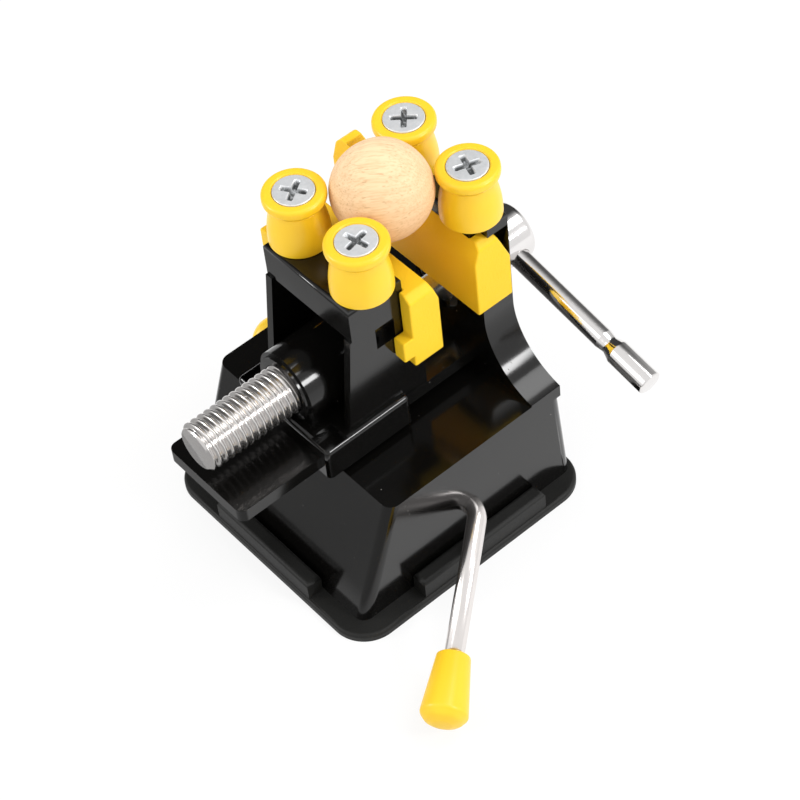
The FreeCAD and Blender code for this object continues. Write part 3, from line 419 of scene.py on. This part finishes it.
# %% [markdown]
# ## From arrays to meshes
# A surface is a grid of points, rows by columns, worked out as whole arrays. `skin` turns the grid into a
# mesh. The columns close into a ring. The first and last row are each closed by a single point, a pole.
# A thread is a grid whose rows climb by one pitch in each turn, so its last column meets the first one some
# rows further on: that is the step. Faces could be added one at a time, but whole arrays are shorter to
# read and far quicker.

# %% Grids into meshes
def to_object(name, points, faces, slot):
    """An object from points in millimetres and a list of faces, with one finish."""
    mesh = bpy.data.meshes.new(name)
    mesh.from_pydata((np.asarray(points) * MM).tolist(), [], faces)
    mesh.validate()
    mesh.shade_smooth()
    mesh.materials.append(FINISHES[slot])
    piece = bpy.data.objects.new(name, mesh)
    bpy.context.scene.collection.objects.link(piece)
    return piece


def skin(name, grid, slot, first_pole, last_pole, step=0):
    """A closed skin: a quad from each point to the next row and column, and a fan at each pole."""
    rows, columns = grid.shape[:2]
    row, column = np.meshgrid(np.arange(rows - 1), np.arange(columns), indexing="ij")
    after = (column + 1) % columns
    shift = np.where(column + 1 == columns, step, 0)
    low = np.minimum(row + shift, rows - 1)
    high = np.minimum(row + 1 + shift, rows - 1)
    quads = np.stack([row * columns + column, low * columns + after, high * columns + after,
                      (row + 1) * columns + column], -1).reshape(-1, 4)
    points = grid.reshape(-1, 3)
    faces = quads.tolist()
    ring = np.arange(columns)
    for pole, start, flip in ((first_pole, 0, True), (last_pole, (rows - 1) * columns, False)):
        centre = np.full(columns, len(points))
        points = np.vstack([points, np.asarray(pole, float)[None]])
        here, beyond = start + ring, start + (ring + 1) % columns
        fan = (centre, beyond, here) if flip else (centre, here, beyond)
        faces += np.stack(fan, -1).tolist()
    return to_object(name, points, faces, slot)


def tidy(piece, gap=0.001 * MM):
    """Merges doubles, drops flat faces and turns every face outwards."""
    work = bmesh.new()
    work.from_mesh(piece.data)
    bmesh.ops.remove_doubles(work, verts=work.verts, dist=gap)
    bmesh.ops.dissolve_degenerate(work, edges=work.edges, dist=gap / 2)
    bmesh.ops.recalc_face_normals(work, faces=work.faces)
    work.to_mesh(piece.data)
    work.free()
    piece.data.shade_smooth()
    return piece


# %% [markdown]
# ## Turned pieces
# Posts, knobs, the bar and the ball are turned or moulded round. Each is a profile, a line of radius
# against height, carried round an axis. `profile` draws it from corners, and a third number in a corner
# rounds it off with an arc, so the profile holds only the points that the shape needs. A Screw modifier
# could spin it, but on a grid of our own the radius may also change with the angle, for flats.

# %% Profiles and turning
ARC_STEPS = 7
NEARLY_STRAIGHT = math.pi / 2 - 1e-3


def corner_arc(before, corner, after, radius, steps):
    """The arc that rounds a corner off, touching both its sides.

    The middle lies on the bisector, a radius over the sine of half the corner's angle away. A spoke on the
    way is the sum of the first and the last spoke, each times the sine of the angle between the new one and
    the other, over the sine of the whole swing.
    """
    back = (before - corner) / np.linalg.norm(before - corner)
    ahead = (after - corner) / np.linalg.norm(after - corner)
    half = math.acos(np.clip(back @ ahead, -1, 1)) / 2
    if radius == 0 or half > NEARLY_STRAIGHT:
        return corner[None]
    middle = corner + (back + ahead) / np.linalg.norm(back + ahead) * radius / math.sin(half)
    first = corner + back * radius / math.tan(half) - middle
    last = corner + ahead * radius / math.tan(half) - middle
    swing = math.pi - 2 * half
    share = np.linspace(0, 1, steps)[:, None]
    spokes = (np.sin((1 - share) * swing) * first + np.sin(share * swing) * last) / math.sin(swing)
    return middle + spokes


def profile(*corners):
    """Points along a line of corners (radius, height, rounding), each corner replaced by a tangent arc."""
    roundings = [corner[2] if len(corner) > 2 else 0 for corner in corners]
    corners = [np.array(corner[:2], float) for corner in corners]
    line = [corners[0][None]]
    for before, corner, after, rounding in zip(corners, corners[1:], corners[2:], roundings[1:]):
        line.append(corner_arc(before, corner, after, rounding, ARC_STEPS))
    line.append(corners[-1][None])
    return np.vstack(line)


def frame_of(way):
    """Two directions square to a way and to each other, by cross products, and the way itself."""
    way = np.asarray(way, float) / np.linalg.norm(way)
    side = np.cross([0, 0, 1], way)
    if np.linalg.norm(side) < 1e-6:
        side = np.array([1.0, 0, 0])
    side /= np.linalg.norm(side)
    return side, np.cross(way, side), way


def turned(name, line, slot, start, way, columns=96, shape=None):
    """A profile carried round an axis: start + radius * way round + height * way.

    Shape, a function of the angle and the height, gives a factor for the radius.
    """
    side, other, way = frame_of(way)
    angle = np.arange(columns) / columns * TURN
    radius = np.repeat(line[:, :1], columns, 1)
    height = np.repeat(line[:, 1:], columns, 1)
    if shape is not None:
        radius = radius * shape(angle[None, :], height)
    around = np.cos(angle)[:, None] * side + np.sin(angle)[:, None] * other
    grid = start + radius[..., None] * around[None] + height[..., None] * way
    poles = [start + line[row, 1] * way for row in (0, -1)]
    keep = line[:, 0] > 1e-6
    return tidy(skin(name, grid[keep], slot, *poles))


# %% [markdown]
# ## Moulded pieces
# The base, the suction pad, the moving jaw and the caps have flat walls, channels and windows, which the
# frame's own solids already hold. A real moulding differs from such a solid in one thing above all: no edge
# is sharp. So each gets a copy of its solid, with the loose triangles merged and flat areas joined, and a
# Bevel modifier that rounds its edges by a few tenths of a millimetre. That narrow band is what catches the
# light. The whole moulding could be built again from curved grids, but the copy keeps every wall where the
# construction has it. Very short edges stay sharp, because a bevel on one of them tears its neighbours.
# The screw's head and the button on the bar are softened in the same way. The nut, the clip, the washer and
# the stem are out of sight, so they keep their solids and only get a finish.

# %% Softened copies
SHARP_FROM = math.radians(25.0)
FLAT_WITHIN = math.radians(0.3)
SHORT_EDGE = 0.2
MERGE_GAP = 0.002 * MM
BEVEL_STEPS = 3
FLAT_WEIGHT = 80


def softened(name, node, slot, width):
    """A copy of a solid, its sharp edges rounded by a width in millimetres, except the very short ones."""
    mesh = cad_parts[node].data.copy()
    mesh.name = name
    mesh.materials.clear()
    mesh.materials.append(FINISHES[slot])
    work = bmesh.new()
    work.from_mesh(mesh)
    bmesh.ops.remove_doubles(work, verts=work.verts, dist=MERGE_GAP)
    bmesh.ops.dissolve_limit(work, angle_limit=FLAT_WITHIN, verts=work.verts, edges=work.edges,
                             use_dissolve_boundaries=False)
    weight = work.edges.layers.float.new("bevel_weight_edge")
    for edge in work.edges:
        sharp = len(edge.link_faces) == 2 and edge.calc_face_angle() > SHARP_FROM
        edge[weight] = float(sharp and edge.calc_length() > SHORT_EDGE * MM)
    work.to_mesh(mesh)
    work.free()
    mesh.shade_smooth()
    piece = bpy.data.objects.new(name, mesh)
    bpy.context.scene.collection.objects.link(piece)
    bevel = piece.modifiers.new("edge", "BEVEL")
    bevel.width = width * MM
    bevel.segments = BEVEL_STEPS
    bevel.limit_method = "WEIGHT"
    bevel.use_clamp_overlap = True
    flat = piece.modifiers.new("flat faces", "WEIGHTED_NORMAL")
    flat.weight = FLAT_WEIGHT
    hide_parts(node)
    print(name, len(mesh.polygons), "faces before its bevel")
    return piece


SOFT_EDGES = {
    "base_body": ("base_shell", "black_gloss", 0.7, "root"),
    "suction_pad": ("suction_rubber", "black_rubber", 0.35, "root"),
    "moving_jaw": ("jaw_casting", "black_gloss", 0.5, "jaw"),
    "moving_jaw_pad": ("moving_cap", "yellow_pad", 0.40, "jaw"),
    "fixed_jaw_pad": ("fixed_cap", "yellow_pad", 0.40, "root"),
    "screw_head": ("bar_head", "chrome_head", 0.25, "screw"),
    "bar_end_button": ("bar_button", "chrome_head", 0.15, "bar"),
}

for node, (name, slot, width, body) in SOFT_EDGES.items():
    piece = softened(name, node, slot, width)
    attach(piece, body)

for node, slot in (("jaw_nut", "plain_steel"), ("retaining_clip", "plain_steel"),
                   ("thrust_washer", "plain_steel"), ("suction_stem", "inner_plastic")):
    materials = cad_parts[node].data.materials
    materials.clear()
    materials.append(FINISHES[slot])
    print(node, "keeps its solid")


# %% [markdown]
# ## The four posts
# Each post is a spool of soft plastic. From a wide foot the side narrows in one smooth curve, half a
# cosine, to a waist right under the flange. The flange is rolled over with a generous radius, and its top
# falls away in a narrow ring round the screw's head, so that the head's bright rim shows. It could be
# shaped from a cylinder by hand, but as a profile its few real sizes stay in sight.

# %% Posts
POST_TALL = 13.8
FOOT_RADIUS = 6.9
FOOT_TALL = 0.9
FOOT_ROUND = 0.3
SIDE_BULGE = 1.3
SIDE_STEPS = 24
WAIST_RADIUS = 5.8
WAIST_HEIGHT = 10.5
THROAT_RADIUS = 5.85
THROAT_HEIGHT = 10.8
THROAT_ROUND = 0.8
FLANGE_RADIUS = 7.0
FLANGE_FROM = 11.6
FLANGE_ROUND_UNDER = 0.9
FLANGE_ROUND_OVER = 0.95
RING_RADIUS = 5.05
RING_DROP = 0.3
RING_ROUND = 0.3
SCREW_HEAD_RADIUS = 4.59
RECESS_GAP = 0.1
RECESS_FLOOR = 2.3


def post_profile():
    """The foot, a side narrowing as half a cosine up to the waist, the rolled flange and a sunk ring."""
    rise = np.linspace(0, 1, SIDE_STEPS)
    swell = 0.5 + 0.5 * np.cos(np.pi * rise ** SIDE_BULGE)
    side = np.stack([WAIST_RADIUS + (FOOT_RADIUS - WAIST_RADIUS) * swell,
                     FOOT_TALL + (WAIST_HEIGHT - FOOT_TALL) * rise], -1)
    recess = SCREW_HEAD_RADIUS + RECESS_GAP
    floor_height = POST_TALL - RECESS_FLOOR
    foot_line = profile((0, 0), (FOOT_RADIUS, 0, FOOT_ROUND), (FOOT_RADIUS, FOOT_TALL))
    top_line = profile(side[-1], (THROAT_RADIUS, THROAT_HEIGHT, THROAT_ROUND),
                       (FLANGE_RADIUS, FLANGE_FROM, FLANGE_ROUND_UNDER),
                       (FLANGE_RADIUS, POST_TALL, FLANGE_ROUND_OVER),
                       (RING_RADIUS, POST_TALL, RING_ROUND), (recess, POST_TALL - RING_DROP),
                       (recess, floor_height), (0, floor_height))
    return np.vstack([foot_line, side[1:-1], top_line])


def foot_middle(node):
    """The middle of a solid's underside, in millimetres."""
    low, high = span(node)
    return np.array([*(low + high)[:2] / 2, low[2]])


POSTS = {"moving_near": "jaw", "moving_far": "jaw", "fixed_near": "root", "fixed_far": "root"}

for place_name, body in POSTS.items():
    foot = foot_middle(f"post_{place_name}")
    piece = turned(f"spool_{place_name}", post_profile(), "yellow_post", foot, (0, 0, 1), 128)
    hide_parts(f"post_{place_name}")
    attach(piece, body)
    print("post", place_name, "at", foot.round(2))


# %% [markdown]
# ## Their cross-recess screws
# A countersunk head with a cross punched into it. The top is a height field on a polar grid: the height is
# that of the flat head minus a depth where either arm's mask is one. The masks are soft steps of the
# distance to the arm's middle line, so the punched walls slope as the punch's do. A Boolean could cut the
# cross out, but a height field stays one closed skin, and its walls are sloped and soft from the start.

# %% Post screws
SCREW_TURN = {"moving_near": 12.0, "moving_far": 33.0, "fixed_near": 71.0, "fixed_far": 48.0}
SCREW_TIP = POST_TALL - 24.4
TIP_MIDDLE = 0.5
TIP_BEVEL = 0.6
TIP_TALL = 1.0
SHANK_RADIUS = 2.5
HEAD_SUNK = 0.05
HEAD_TALL = 2.55
RIM_TALL = 0.45
RIM_WIDE = 0.5
RIM_ROUND_UNDER = 0.2
RIM_ROUND_OVER = 0.25
FACE_FROM = 0.6
FACE_TO = 0.08
CROSS_ROWS = 56
SCREW_COLUMNS = 144
CROSS_ARM = 3.1
CROSS_WIDE = 1.1
CROSS_DEEP = 1.5
CROSS_SLOPE = 0.35
ARM_END_SLOPE = 2.5 * CROSS_SLOPE


def screw_grid(turn):
    """Rows from the tip up the shank and cone, over the rim and across the punched top to its middle."""
    top = POST_TALL - HEAD_SUNK
    angle = np.arange(SCREW_COLUMNS) / SCREW_COLUMNS * TURN
    side = profile((TIP_MIDDLE, SCREW_TIP), (SHANK_RADIUS - TIP_BEVEL, SCREW_TIP),
                   (SHANK_RADIUS, SCREW_TIP + TIP_TALL), (SHANK_RADIUS, top - HEAD_TALL),
                   (SCREW_HEAD_RADIUS, top - RIM_TALL, RIM_ROUND_UNDER),
                   (SCREW_HEAD_RADIUS, top, RIM_ROUND_OVER), (SCREW_HEAD_RADIUS - RIM_WIDE, top))
    across = np.linspace(SCREW_HEAD_RADIUS - FACE_FROM, FACE_TO, CROSS_ROWS)
    line = np.vstack([side, np.stack([across, np.full(CROSS_ROWS, top)], -1)])
    radius = np.repeat(line[:, :1], SCREW_COLUMNS, 1)
    height = np.repeat(line[:, 1:], SCREW_COLUMNS, 1)
    x = radius * np.cos(angle)
    y = radius * np.sin(angle)
    flat = height > top - 1e-6
    depth = np.zeros_like(radius)
    for along, square in ((x, y), (y, x)):
        wall = np.clip((CROSS_WIDE / 2 + CROSS_SLOPE / 2 - np.abs(square)) / CROSS_SLOPE, 0, 1)
        end = np.clip((CROSS_ARM - np.abs(along)) / ARM_END_SLOPE, 0, 1)
        depth = np.maximum(depth, wall * end)
    height = height - depth * CROSS_DEEP * flat
    turned_angle = angle + math.radians(turn)
    return np.stack([radius * np.cos(turned_angle), radius * np.sin(turned_angle), height], -1)


for place_name, body in POSTS.items():
    grid = screw_grid(SCREW_TURN[place_name]) + foot_middle(f"post_{place_name}")
    piece = tidy(skin(f"driven_screw_{place_name}", grid, "zinc_screw", grid[0].mean(0), grid[-1].mean(0)))
    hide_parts(f"post_screw_{place_name}")
    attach(piece, body)
    print("post screw", place_name, "turned by", SCREW_TURN[place_name], "degrees")


# %% [markdown]
# ## The lead screw
# A rolled thread has round crests and round roots. The surface is a grid that climbs with the thread: a row
# is a line that gains one pitch in each turn, so its place along the axis is the row's own place plus the
# pitch times the angle over a full turn. The radius then depends on the row alone. Rows that climb past
# either end are held at the end's plane, where they meet and merge. A Screw modifier could sweep the
# groove, but it leaves open ends to close by hand. Between the jaws the rod is turned down to a thin neck,
# a second piece.

# %% Lead screw
AXIS_HEIGHT = 50.5
THREAD_CREST = 5.9
THREAD_DEPTH = 0.95
THREAD_PITCH = 1.75
THREAD_FROM = -45.5
THREAD_TO = 8.6
BEVEL_START_RADIUS = 4.9
END_DISH = 0.15
GROOVE_POWER = 1.25
ROWS_A_PITCH = 14
THREAD_COLUMNS = 96


def thread_grid():
    """The crest's radius minus the depth times a rounded wave, at most the bevel's at the open end."""
    turns = math.ceil((THREAD_TO - THREAD_FROM) / THREAD_PITCH)
    rows = np.arange(-ROWS_A_PITCH, turns * ROWS_A_PITCH + 1)
    angle = np.arange(THREAD_COLUMNS) / THREAD_COLUMNS * TURN
    place = THREAD_FROM + THREAD_PITCH * (rows[:, None] / ROWS_A_PITCH + angle[None] / TURN)
    place = np.clip(place, THREAD_FROM, THREAD_TO)
    wave = 0.5 - 0.5 * np.cos(rows / ROWS_A_PITCH * TURN)
    radius = np.repeat((THREAD_CREST - THREAD_DEPTH * wave ** GROOVE_POWER)[:, None], THREAD_COLUMNS, 1)
    radius = np.minimum(radius, BEVEL_START_RADIUS + (place - THREAD_FROM))
    return np.stack([place, radius * np.sin(-angle), AXIS_HEIGHT + radius * np.cos(angle)], -1)


piece = tidy(skin("rolled_thread", thread_grid(), "thread_steel", (THREAD_FROM + END_DISH, 0, AXIS_HEIGHT),
                  (THREAD_TO, 0, AXIS_HEIGHT), step=ROWS_A_PITCH), MERGE_GAP)
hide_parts("lead_screw")
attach(piece, "screw")
print("thread", len(piece.data.polygons), "faces")

JOURNAL_START = 22.6
JOURNAL_RADIUS = 5.0
SPIGOT_RADIUS = 4.0
SPIGOT_LONG = 5.6
NECK_RADIUS = 2.8
CLIP_COLLAR = 0.6
CLIP_GROOVE_RADIUS = 4.4
CLIP_GROOVE_WIDE = 1.2
HEAD_START = float(span("screw_head")[0][0])

neck_to = JOURNAL_START - THREAD_TO
collar_to = neck_to + CLIP_COLLAR
groove_to = collar_to + CLIP_GROOVE_WIDE
journal_to = HEAD_START - THREAD_TO
spigot_to = journal_to + SPIGOT_LONG
journal = profile((0, 0), (NECK_RADIUS, 0), (NECK_RADIUS, neck_to), (JOURNAL_RADIUS, neck_to),
                  (JOURNAL_RADIUS, collar_to), (CLIP_GROOVE_RADIUS, collar_to),
                  (CLIP_GROOVE_RADIUS, groove_to), (JOURNAL_RADIUS, groove_to), (JOURNAL_RADIUS, journal_to),
                  (SPIGOT_RADIUS, journal_to), (SPIGOT_RADIUS, spigot_to), (0, spigot_to))
piece = turned("screw_journal", journal, "thread_steel", np.array([THREAD_TO, 0, AXIS_HEIGHT]), (1, 0, 0))
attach(piece, "screw")
print("journal from", JOURNAL_START, "to", round(THREAD_TO + spigot_to, 2))


# %% [markdown]
# ## The tommy bar
# A plated rod that slides through the head. Its end is swaged: a narrow neck, then a thicker tip with
# shallow flats, so that it can't slip out. The flats could be cut with a Boolean. Here they are a small
# cosine of the angle that fades in past the neck, so the rod stays one skin with soft edges, as swaging
# leaves it. An extra ring near the far end keeps the soft shading of that end's edge off the long side.

# %% Tommy bar
BAR_RADIUS = 2.5
BAR_DROOP = math.radians(12.33)
BAR_WAY = np.array([0, math.cos(BAR_DROOP), math.sin(BAR_DROOP)])
HEAD_HOLE_AT = 9.7
BAR_MIDDLE = np.array([HEAD_START + HEAD_HOLE_AT, 0, AXIS_HEIGHT])
BAR_END = 9.65
BAR_END_RING = 1.15
ROD_TO = 34.1
ROD_ROUND = 1.0
SWAGE_AT = 36.2
SWAGE_RADIUS = 2.15
SWAGE_ROUND = 1.4
TIP_FROM = 38.4
TIP_FROM_ROUND = 1.6
TIP_AT = 49.1
TIP_ROUND = 0.5
TIP_RADIUS = 3.0
TIP_FLATS = 6
TIP_FLAT_DEPTH = 0.045
FLATS_FROM = 36.0
FLATS_FADE = 2.0


def swaged_flats(angle, height):
    """One minus a small cosine of six times the angle, which fades in over two millimetres at the neck."""
    fade = np.clip((-height - FLATS_FROM) / FLATS_FADE, 0, 1)
    return 1 - TIP_FLAT_DEPTH * fade * (0.5 + 0.5 * np.cos(angle * TIP_FLATS))


bar_line = profile((0, -TIP_AT), (TIP_RADIUS, -TIP_AT, TIP_ROUND), (TIP_RADIUS, -TIP_FROM, TIP_FROM_ROUND),
                   (SWAGE_RADIUS, -SWAGE_AT, SWAGE_ROUND), (BAR_RADIUS, -ROD_TO, ROD_ROUND),
                   (BAR_RADIUS, BAR_END - BAR_END_RING), (BAR_RADIUS, BAR_END), (0, BAR_END))
piece = turned("tommy_rod", bar_line, "chrome_head", BAR_MIDDLE, BAR_WAY, 96, swaged_flats)
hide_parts("tommy_bar")
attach(piece, "bar")
print("bar from", -TIP_AT, "to", BAR_END, "along its way")


# %% [markdown]
# ## The suction lever
# One length of drawn wire: a shaft through the base with a crank in its middle, a bend outside, and a
# straight handle. A round section is carried along a path of straight runs and arcs, and its frame is
# turned with the path from point to point, so that it never twists. A curve with a round bevel could do the
# same, but here the arcs are true circles and the ends are closed.

# %% Lever
WIRE_RADIUS = 2.25
LEVER_X, LEVER_Z = 3.0, 15.5
LEVER_YAW = math.radians(51.1)
LEVER_DROOP = math.radians(9.0)
LEVER_WAY = np.array([-math.sin(LEVER_YAW) * math.cos(LEVER_DROOP),
                      -math.cos(LEVER_YAW) * math.cos(LEVER_DROOP), -math.sin(LEVER_DROOP)])
LEVER_CORNER = np.array([LEVER_X, -32.65, LEVER_Z])
LEVER_REACH = 52.3
KNOB_LONG = 16.5
KNOB_BORE = 11.9
KNOB_START = LEVER_CORNER + LEVER_WAY * (LEVER_REACH - KNOB_LONG)
SHAFT_END = 42.0
CRANK_THROW = 3.0 / math.sqrt(2)
CRANK_OUTER = 9.5
CRANK_INNER = 6.0
CRANK_BEND = 3.0
HANDLE_BEND = 5.2
BEND_STEPS = 14


def bent_path(corners, radii):
    """Points along straight runs joined by tangent arcs, one radius for each inner corner."""
    arcs = [corner_arc(before, corner, after, radius, BEND_STEPS)
            for before, corner, after, radius in zip(corners, corners[1:], corners[2:], radii)]
    return np.vstack([corners[:1], *arcs, corners[-1:]])


def tube(name, path, radius, slot, columns=48):
    """A round section carried along a path: each point plus the radius times a turn in its own frame.

    At each point the frame's side is the last one, less its share along the way, so that it turns least.
    """
    ahead = np.gradient(path, axis=0)
    ahead /= np.linalg.norm(ahead, axis=1, keepdims=True)
    side = frame_of(ahead[0])[0]
    sides = []
    for way in ahead:
        side = side - way * (side @ way)
        side /= np.linalg.norm(side)
        sides.append(side)
    sides = np.array(sides)
    others = np.cross(ahead, sides)
    angle = np.arange(columns) / columns * TURN
    ring = np.cos(angle)[None, :, None] * sides[:, None] + np.sin(angle)[None, :, None] * others[:, None]
    return tidy(skin(name, path[:, None] + ring * radius, slot, path[0], path[-1]))


crank_x = LEVER_X - CRANK_THROW
crank_z = LEVER_Z - CRANK_THROW
lever_corners = np.array([
    [LEVER_X, SHAFT_END, LEVER_Z], [LEVER_X, CRANK_OUTER, LEVER_Z], [crank_x, CRANK_INNER, crank_z],
    [crank_x, -CRANK_INNER, crank_z], [LEVER_X, -CRANK_OUTER, LEVER_Z], LEVER_CORNER,
    KNOB_START + LEVER_WAY * KNOB_BORE])
wire_path = bent_path(lever_corners, [CRANK_BEND] * 4 + [HANDLE_BEND])
piece = tube("bent_wire", wire_path, WIRE_RADIUS, "bright_wire")
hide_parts("lever_rod")
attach(piece, "lever")
print("wire", round(float(np.linalg.norm(np.diff(wire_path, axis=0), axis=1).sum()), 1), "mm long")


# %% [markdown]
# ## Knob and end cap
# The knob widens from a flat collar to a dome, and its side has faint flats from the mould. The end cap on
# the far side is a shorter one. The flats could be modelled as faces, but a cosine of eight times the
# angle, less than a tenth of a millimetre deep, is enough for the sheen to break into facets.

# %% Knobs
KNOB_NECK = 3.8
COLLAR_ROUND = 0.5
KNOB_RADIUS = 5.4
SHOULDER_ROUND = 1.1
DOME_TALL = 2.6
DOME_CORNERS = ((4.1, 1.0), (2.2, 0.25))
DOME_ROUND = 2.2
KNOB_FLATS = 8
KNOB_FLAT_DEPTH = 0.012
END_CAP_START = np.array([LEVER_X, 31.1, LEVER_Z])
END_CAP_LONG = 13.0


def knob_line(long):
    """Flat collar with a rolled edge, a straight taper, and a dome of two wide arcs."""
    dome = [(radius, long - below, DOME_ROUND) for radius, below in DOME_CORNERS]
    return profile((0, 0), (KNOB_NECK, 0, COLLAR_ROUND), (KNOB_RADIUS, long - DOME_TALL, SHOULDER_ROUND),
                   *dome, (0, long))


def knob_flats(angle, height):
    """One minus a small cosine of eight times the angle, the same at every height."""
    return 1 - KNOB_FLAT_DEPTH * (0.5 + 0.5 * np.cos(angle * KNOB_FLATS))


for name, node, start, way, long in (
        ("handle_knob", "lever_knob", KNOB_START, LEVER_WAY, KNOB_LONG),
        ("shaft_cap", "lever_end_cap", END_CAP_START, (0, 1, 0), END_CAP_LONG)):
    piece = turned(name, knob_line(long), "yellow_knob", start, way, 96, knob_flats)
    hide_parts(node)
    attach(piece, "lever")
    print(name, long, "mm long")


# %% [markdown]
# ## The wooden ball
# Turned by hand, so it isn't quite round: a cosine of four times the angle, less than a hundredth high,
# flattens its sides a little. A ready-made sphere could stand in for it, but its outline would be too
# perfect. The grid runs from the lowest point to the highest, and the finish brings its own grain.

# %% Ball
BALL_SIDES = 4
BALL_WAVE = 0.008
BALL_MEAN = 1 - BALL_WAVE


def ball_grid(rows=96, columns=144):
    """A sphere whose radius changes by a cosine of four times the angle, fading to nothing at both poles."""
    tilt = np.linspace(0, math.pi, rows)[1:-1, None]
    angle = np.arange(columns)[None] / columns * TURN
    radius = BALL_RADIUS * (BALL_MEAN - BALL_WAVE * np.cos(BALL_SIDES * angle) * np.sin(tilt) ** 2)
    x = radius * np.sin(tilt) * np.cos(angle)
    y = radius * np.sin(tilt) * np.sin(angle)
    z = radius * -np.cos(tilt)
    return BALL_CENTRE + np.stack([x, y, z], -1)


pole = np.array([0, 0, BALL_RADIUS * BALL_MEAN])
piece = tidy(skin("turned_ball", ball_grid(), "ball_wood", BALL_CENTRE - pole, BALL_CENTRE + pole))
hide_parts("wooden_ball")
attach(piece, "ball")
print("ball", round(2 * BALL_RADIUS, 1), "mm wide")


# %% [markdown]
# ## The floor
# The table gives off a plain white to the camera, mixed with an ordinary white surface that keeps the
# shadow. In mirrors it is bright in front of the near side and dim past the rail's open end. An ordinary
# surface alone could be lit until it is white, but that much light would bleach the yellow and the wood.

# %% Floor
FRONT_EDGE = -40 * MM
FRONT_FADE = 12 * MM
MIRRORED_BRIGHT = 1.1
MIRRORED_DIM = 0.30
WHITE_SHARE = 0.82
FLOOR_HALF = 3000.0
FLOOR_DROP = 0.02


def floor_finish():
    """White to the camera. Mirrored, bright in front of the near side and dim past the rail's open end."""
    finish = Finish("white_table", Base_Color=(0.9, 0.9, 0.9), Roughness=0.7)
    seen = finish.node("ShaderNodeLightPath", output="Is Camera Ray")
    through = finish.node("ShaderNodeLightPath", output="Is Transmission Ray")
    mirrored = finish.node("ShaderNodeLightPath", output="Is Glossy Ray").at_least(through)
    along = finish.node("ShaderNodeSeparateXYZ", None, [finish.place], output="X")
    bright = MIRRORED_DIM + along.above(FRONT_EDGE, FRONT_FADE) * (MIRRORED_BRIGHT - MIRRORED_DIM)
    strength = seen + mirrored * bright
    white = finish.node("ShaderNodeEmission", None, {"Color": (1.0, 1.0, 1.0), "Strength": strength})
    matt = Val(finish, finish.surface.outputs[0])
    mixed = finish.node("ShaderNodeMixShader", None, [seen.at_least(mirrored) * WHITE_SHARE, matt, white])
    finish.link(mixed, finish.tree.nodes["Material Output"].inputs["Surface"])
    return finish.material


FINISHES["white_table"] = floor_finish()
corners = [[x * FLOOR_HALF, y * FLOOR_HALF, 0] for x, y in ((-1, -1), (1, -1), (1, 1), (-1, 1))]
floor = to_object("table_top", corners, [[0, 1, 2, 3]], "white_table")
floor.location.z = -FLOOR_DROP * MM


# %% [markdown]
# ## The room
# The room is white with a dark far side, which level faces mirror to the camera: so black plastic reads as
# grey on its upright faces and stays black on its level ones, and polished metal gets a dark upper edge.
# Real panels could be set up for that, but a room drawn by its directions alone casts no shadows.

# %% Room
DARK_WAY = (0.45, 0.80, 0.40)
DARK_FROM = 0.45
DARK_TO = 0.82
PALE_SIDE = 0.95
DARK_SIDE = 0.05
LEVEL_LIGHT = 0.55
OVERHEAD_GAIN = 0.55


def room():
    """White to the camera and dark on the far side in mirrors. As a lamp it gives more from higher up."""
    world = bpy.data.worlds.new("room")
    bpy.context.scene.world = world
    world.use_nodes = True
    net = Net(world.node_tree)
    direction = net.node("ShaderNodeTexCoord", output="Generated")
    far_side = net.node("ShaderNodeVectorMath", {"operation": "DOT_PRODUCT"}, [direction, DARK_WAY],
                        output="Value")
    greys = net.node("ShaderNodeValToRGB", None, [far_side])
    ramp = greys.socket.node.color_ramp
    ramp.interpolation = "EASE"
    for element, (position, grey) in zip(ramp.elements, ((DARK_FROM, PALE_SIDE), (DARK_TO, DARK_SIDE))):
        element.position = position
        element.color = (grey, grey, grey, 1.0)
    lit = net.node("ShaderNodeSeparateXYZ", None, [direction], output="Z") * OVERHEAD_GAIN + LEVEL_LIGHT
    mirrored = net.node("ShaderNodeLightPath", output="Is Glossy Ray")
    seen = net.node("ShaderNodeLightPath", output="Is Camera Ray")
    background = world.node_tree.nodes["Background"]
    net.link((1.0, 1.0, 1.0), background.inputs["Color"])
    strength = net.node("ShaderNodeMix", None, {0: mirrored, 2: lit, 3: greys}).at_least(seen)
    net.link(strength, background.inputs["Strength"])
    print("room", world.name, "dark towards", DARK_WAY)


room()


# %% [markdown]
# ## Soft lamps and two small ones
# The room gives most of the light. A lamp to the right of the camera and a weaker one on the left only
# model the shapes. One strong lamp could do it all, but its glare would lie on the black tops: these stand
# where level faces don't mirror them towards the camera. Two small lamps stand where rounded edges that run
# along the vise and across it mirror them, as thin bright lines.

# %% Lamps
def soft_lamp(name, turn, rise, away, wide, watts):
    """A square area lamp aimed at the vise from a compass angle and a height angle."""
    turn, rise = math.radians(turn), math.radians(rise)
    offset = Vector((math.sin(turn) * math.cos(rise), -math.cos(turn) * math.cos(rise), math.sin(rise)))
    lamp = bpy.data.lights.new(name, "AREA")
    lamp.shape = "SQUARE"
    lamp.size = wide * MM
    lamp.energy = watts
    holder = bpy.data.objects.new(name, lamp)
    holder.location = Vector(LOOK_AT * MM) + offset * away * MM
    holder.rotation_euler = offset.to_track_quat("Z", "Y").to_euler()
    bpy.context.scene.collection.objects.link(holder)
    print("lamp", name, watts, "W")


soft_lamp("key", turn=62.0, rise=62.0, away=700.0, wide=300.0, watts=1.3)
soft_lamp("fill", turn=-100.0, rise=45.0, away=800.0, wide=400.0, watts=0.5)
soft_lamp("near edges", turn=26.0, rise=32.0, away=700.0, wide=150.0, watts=1.7)
soft_lamp("front edges", turn=-125.0, rise=22.0, away=700.0, wide=150.0, watts=1.4)
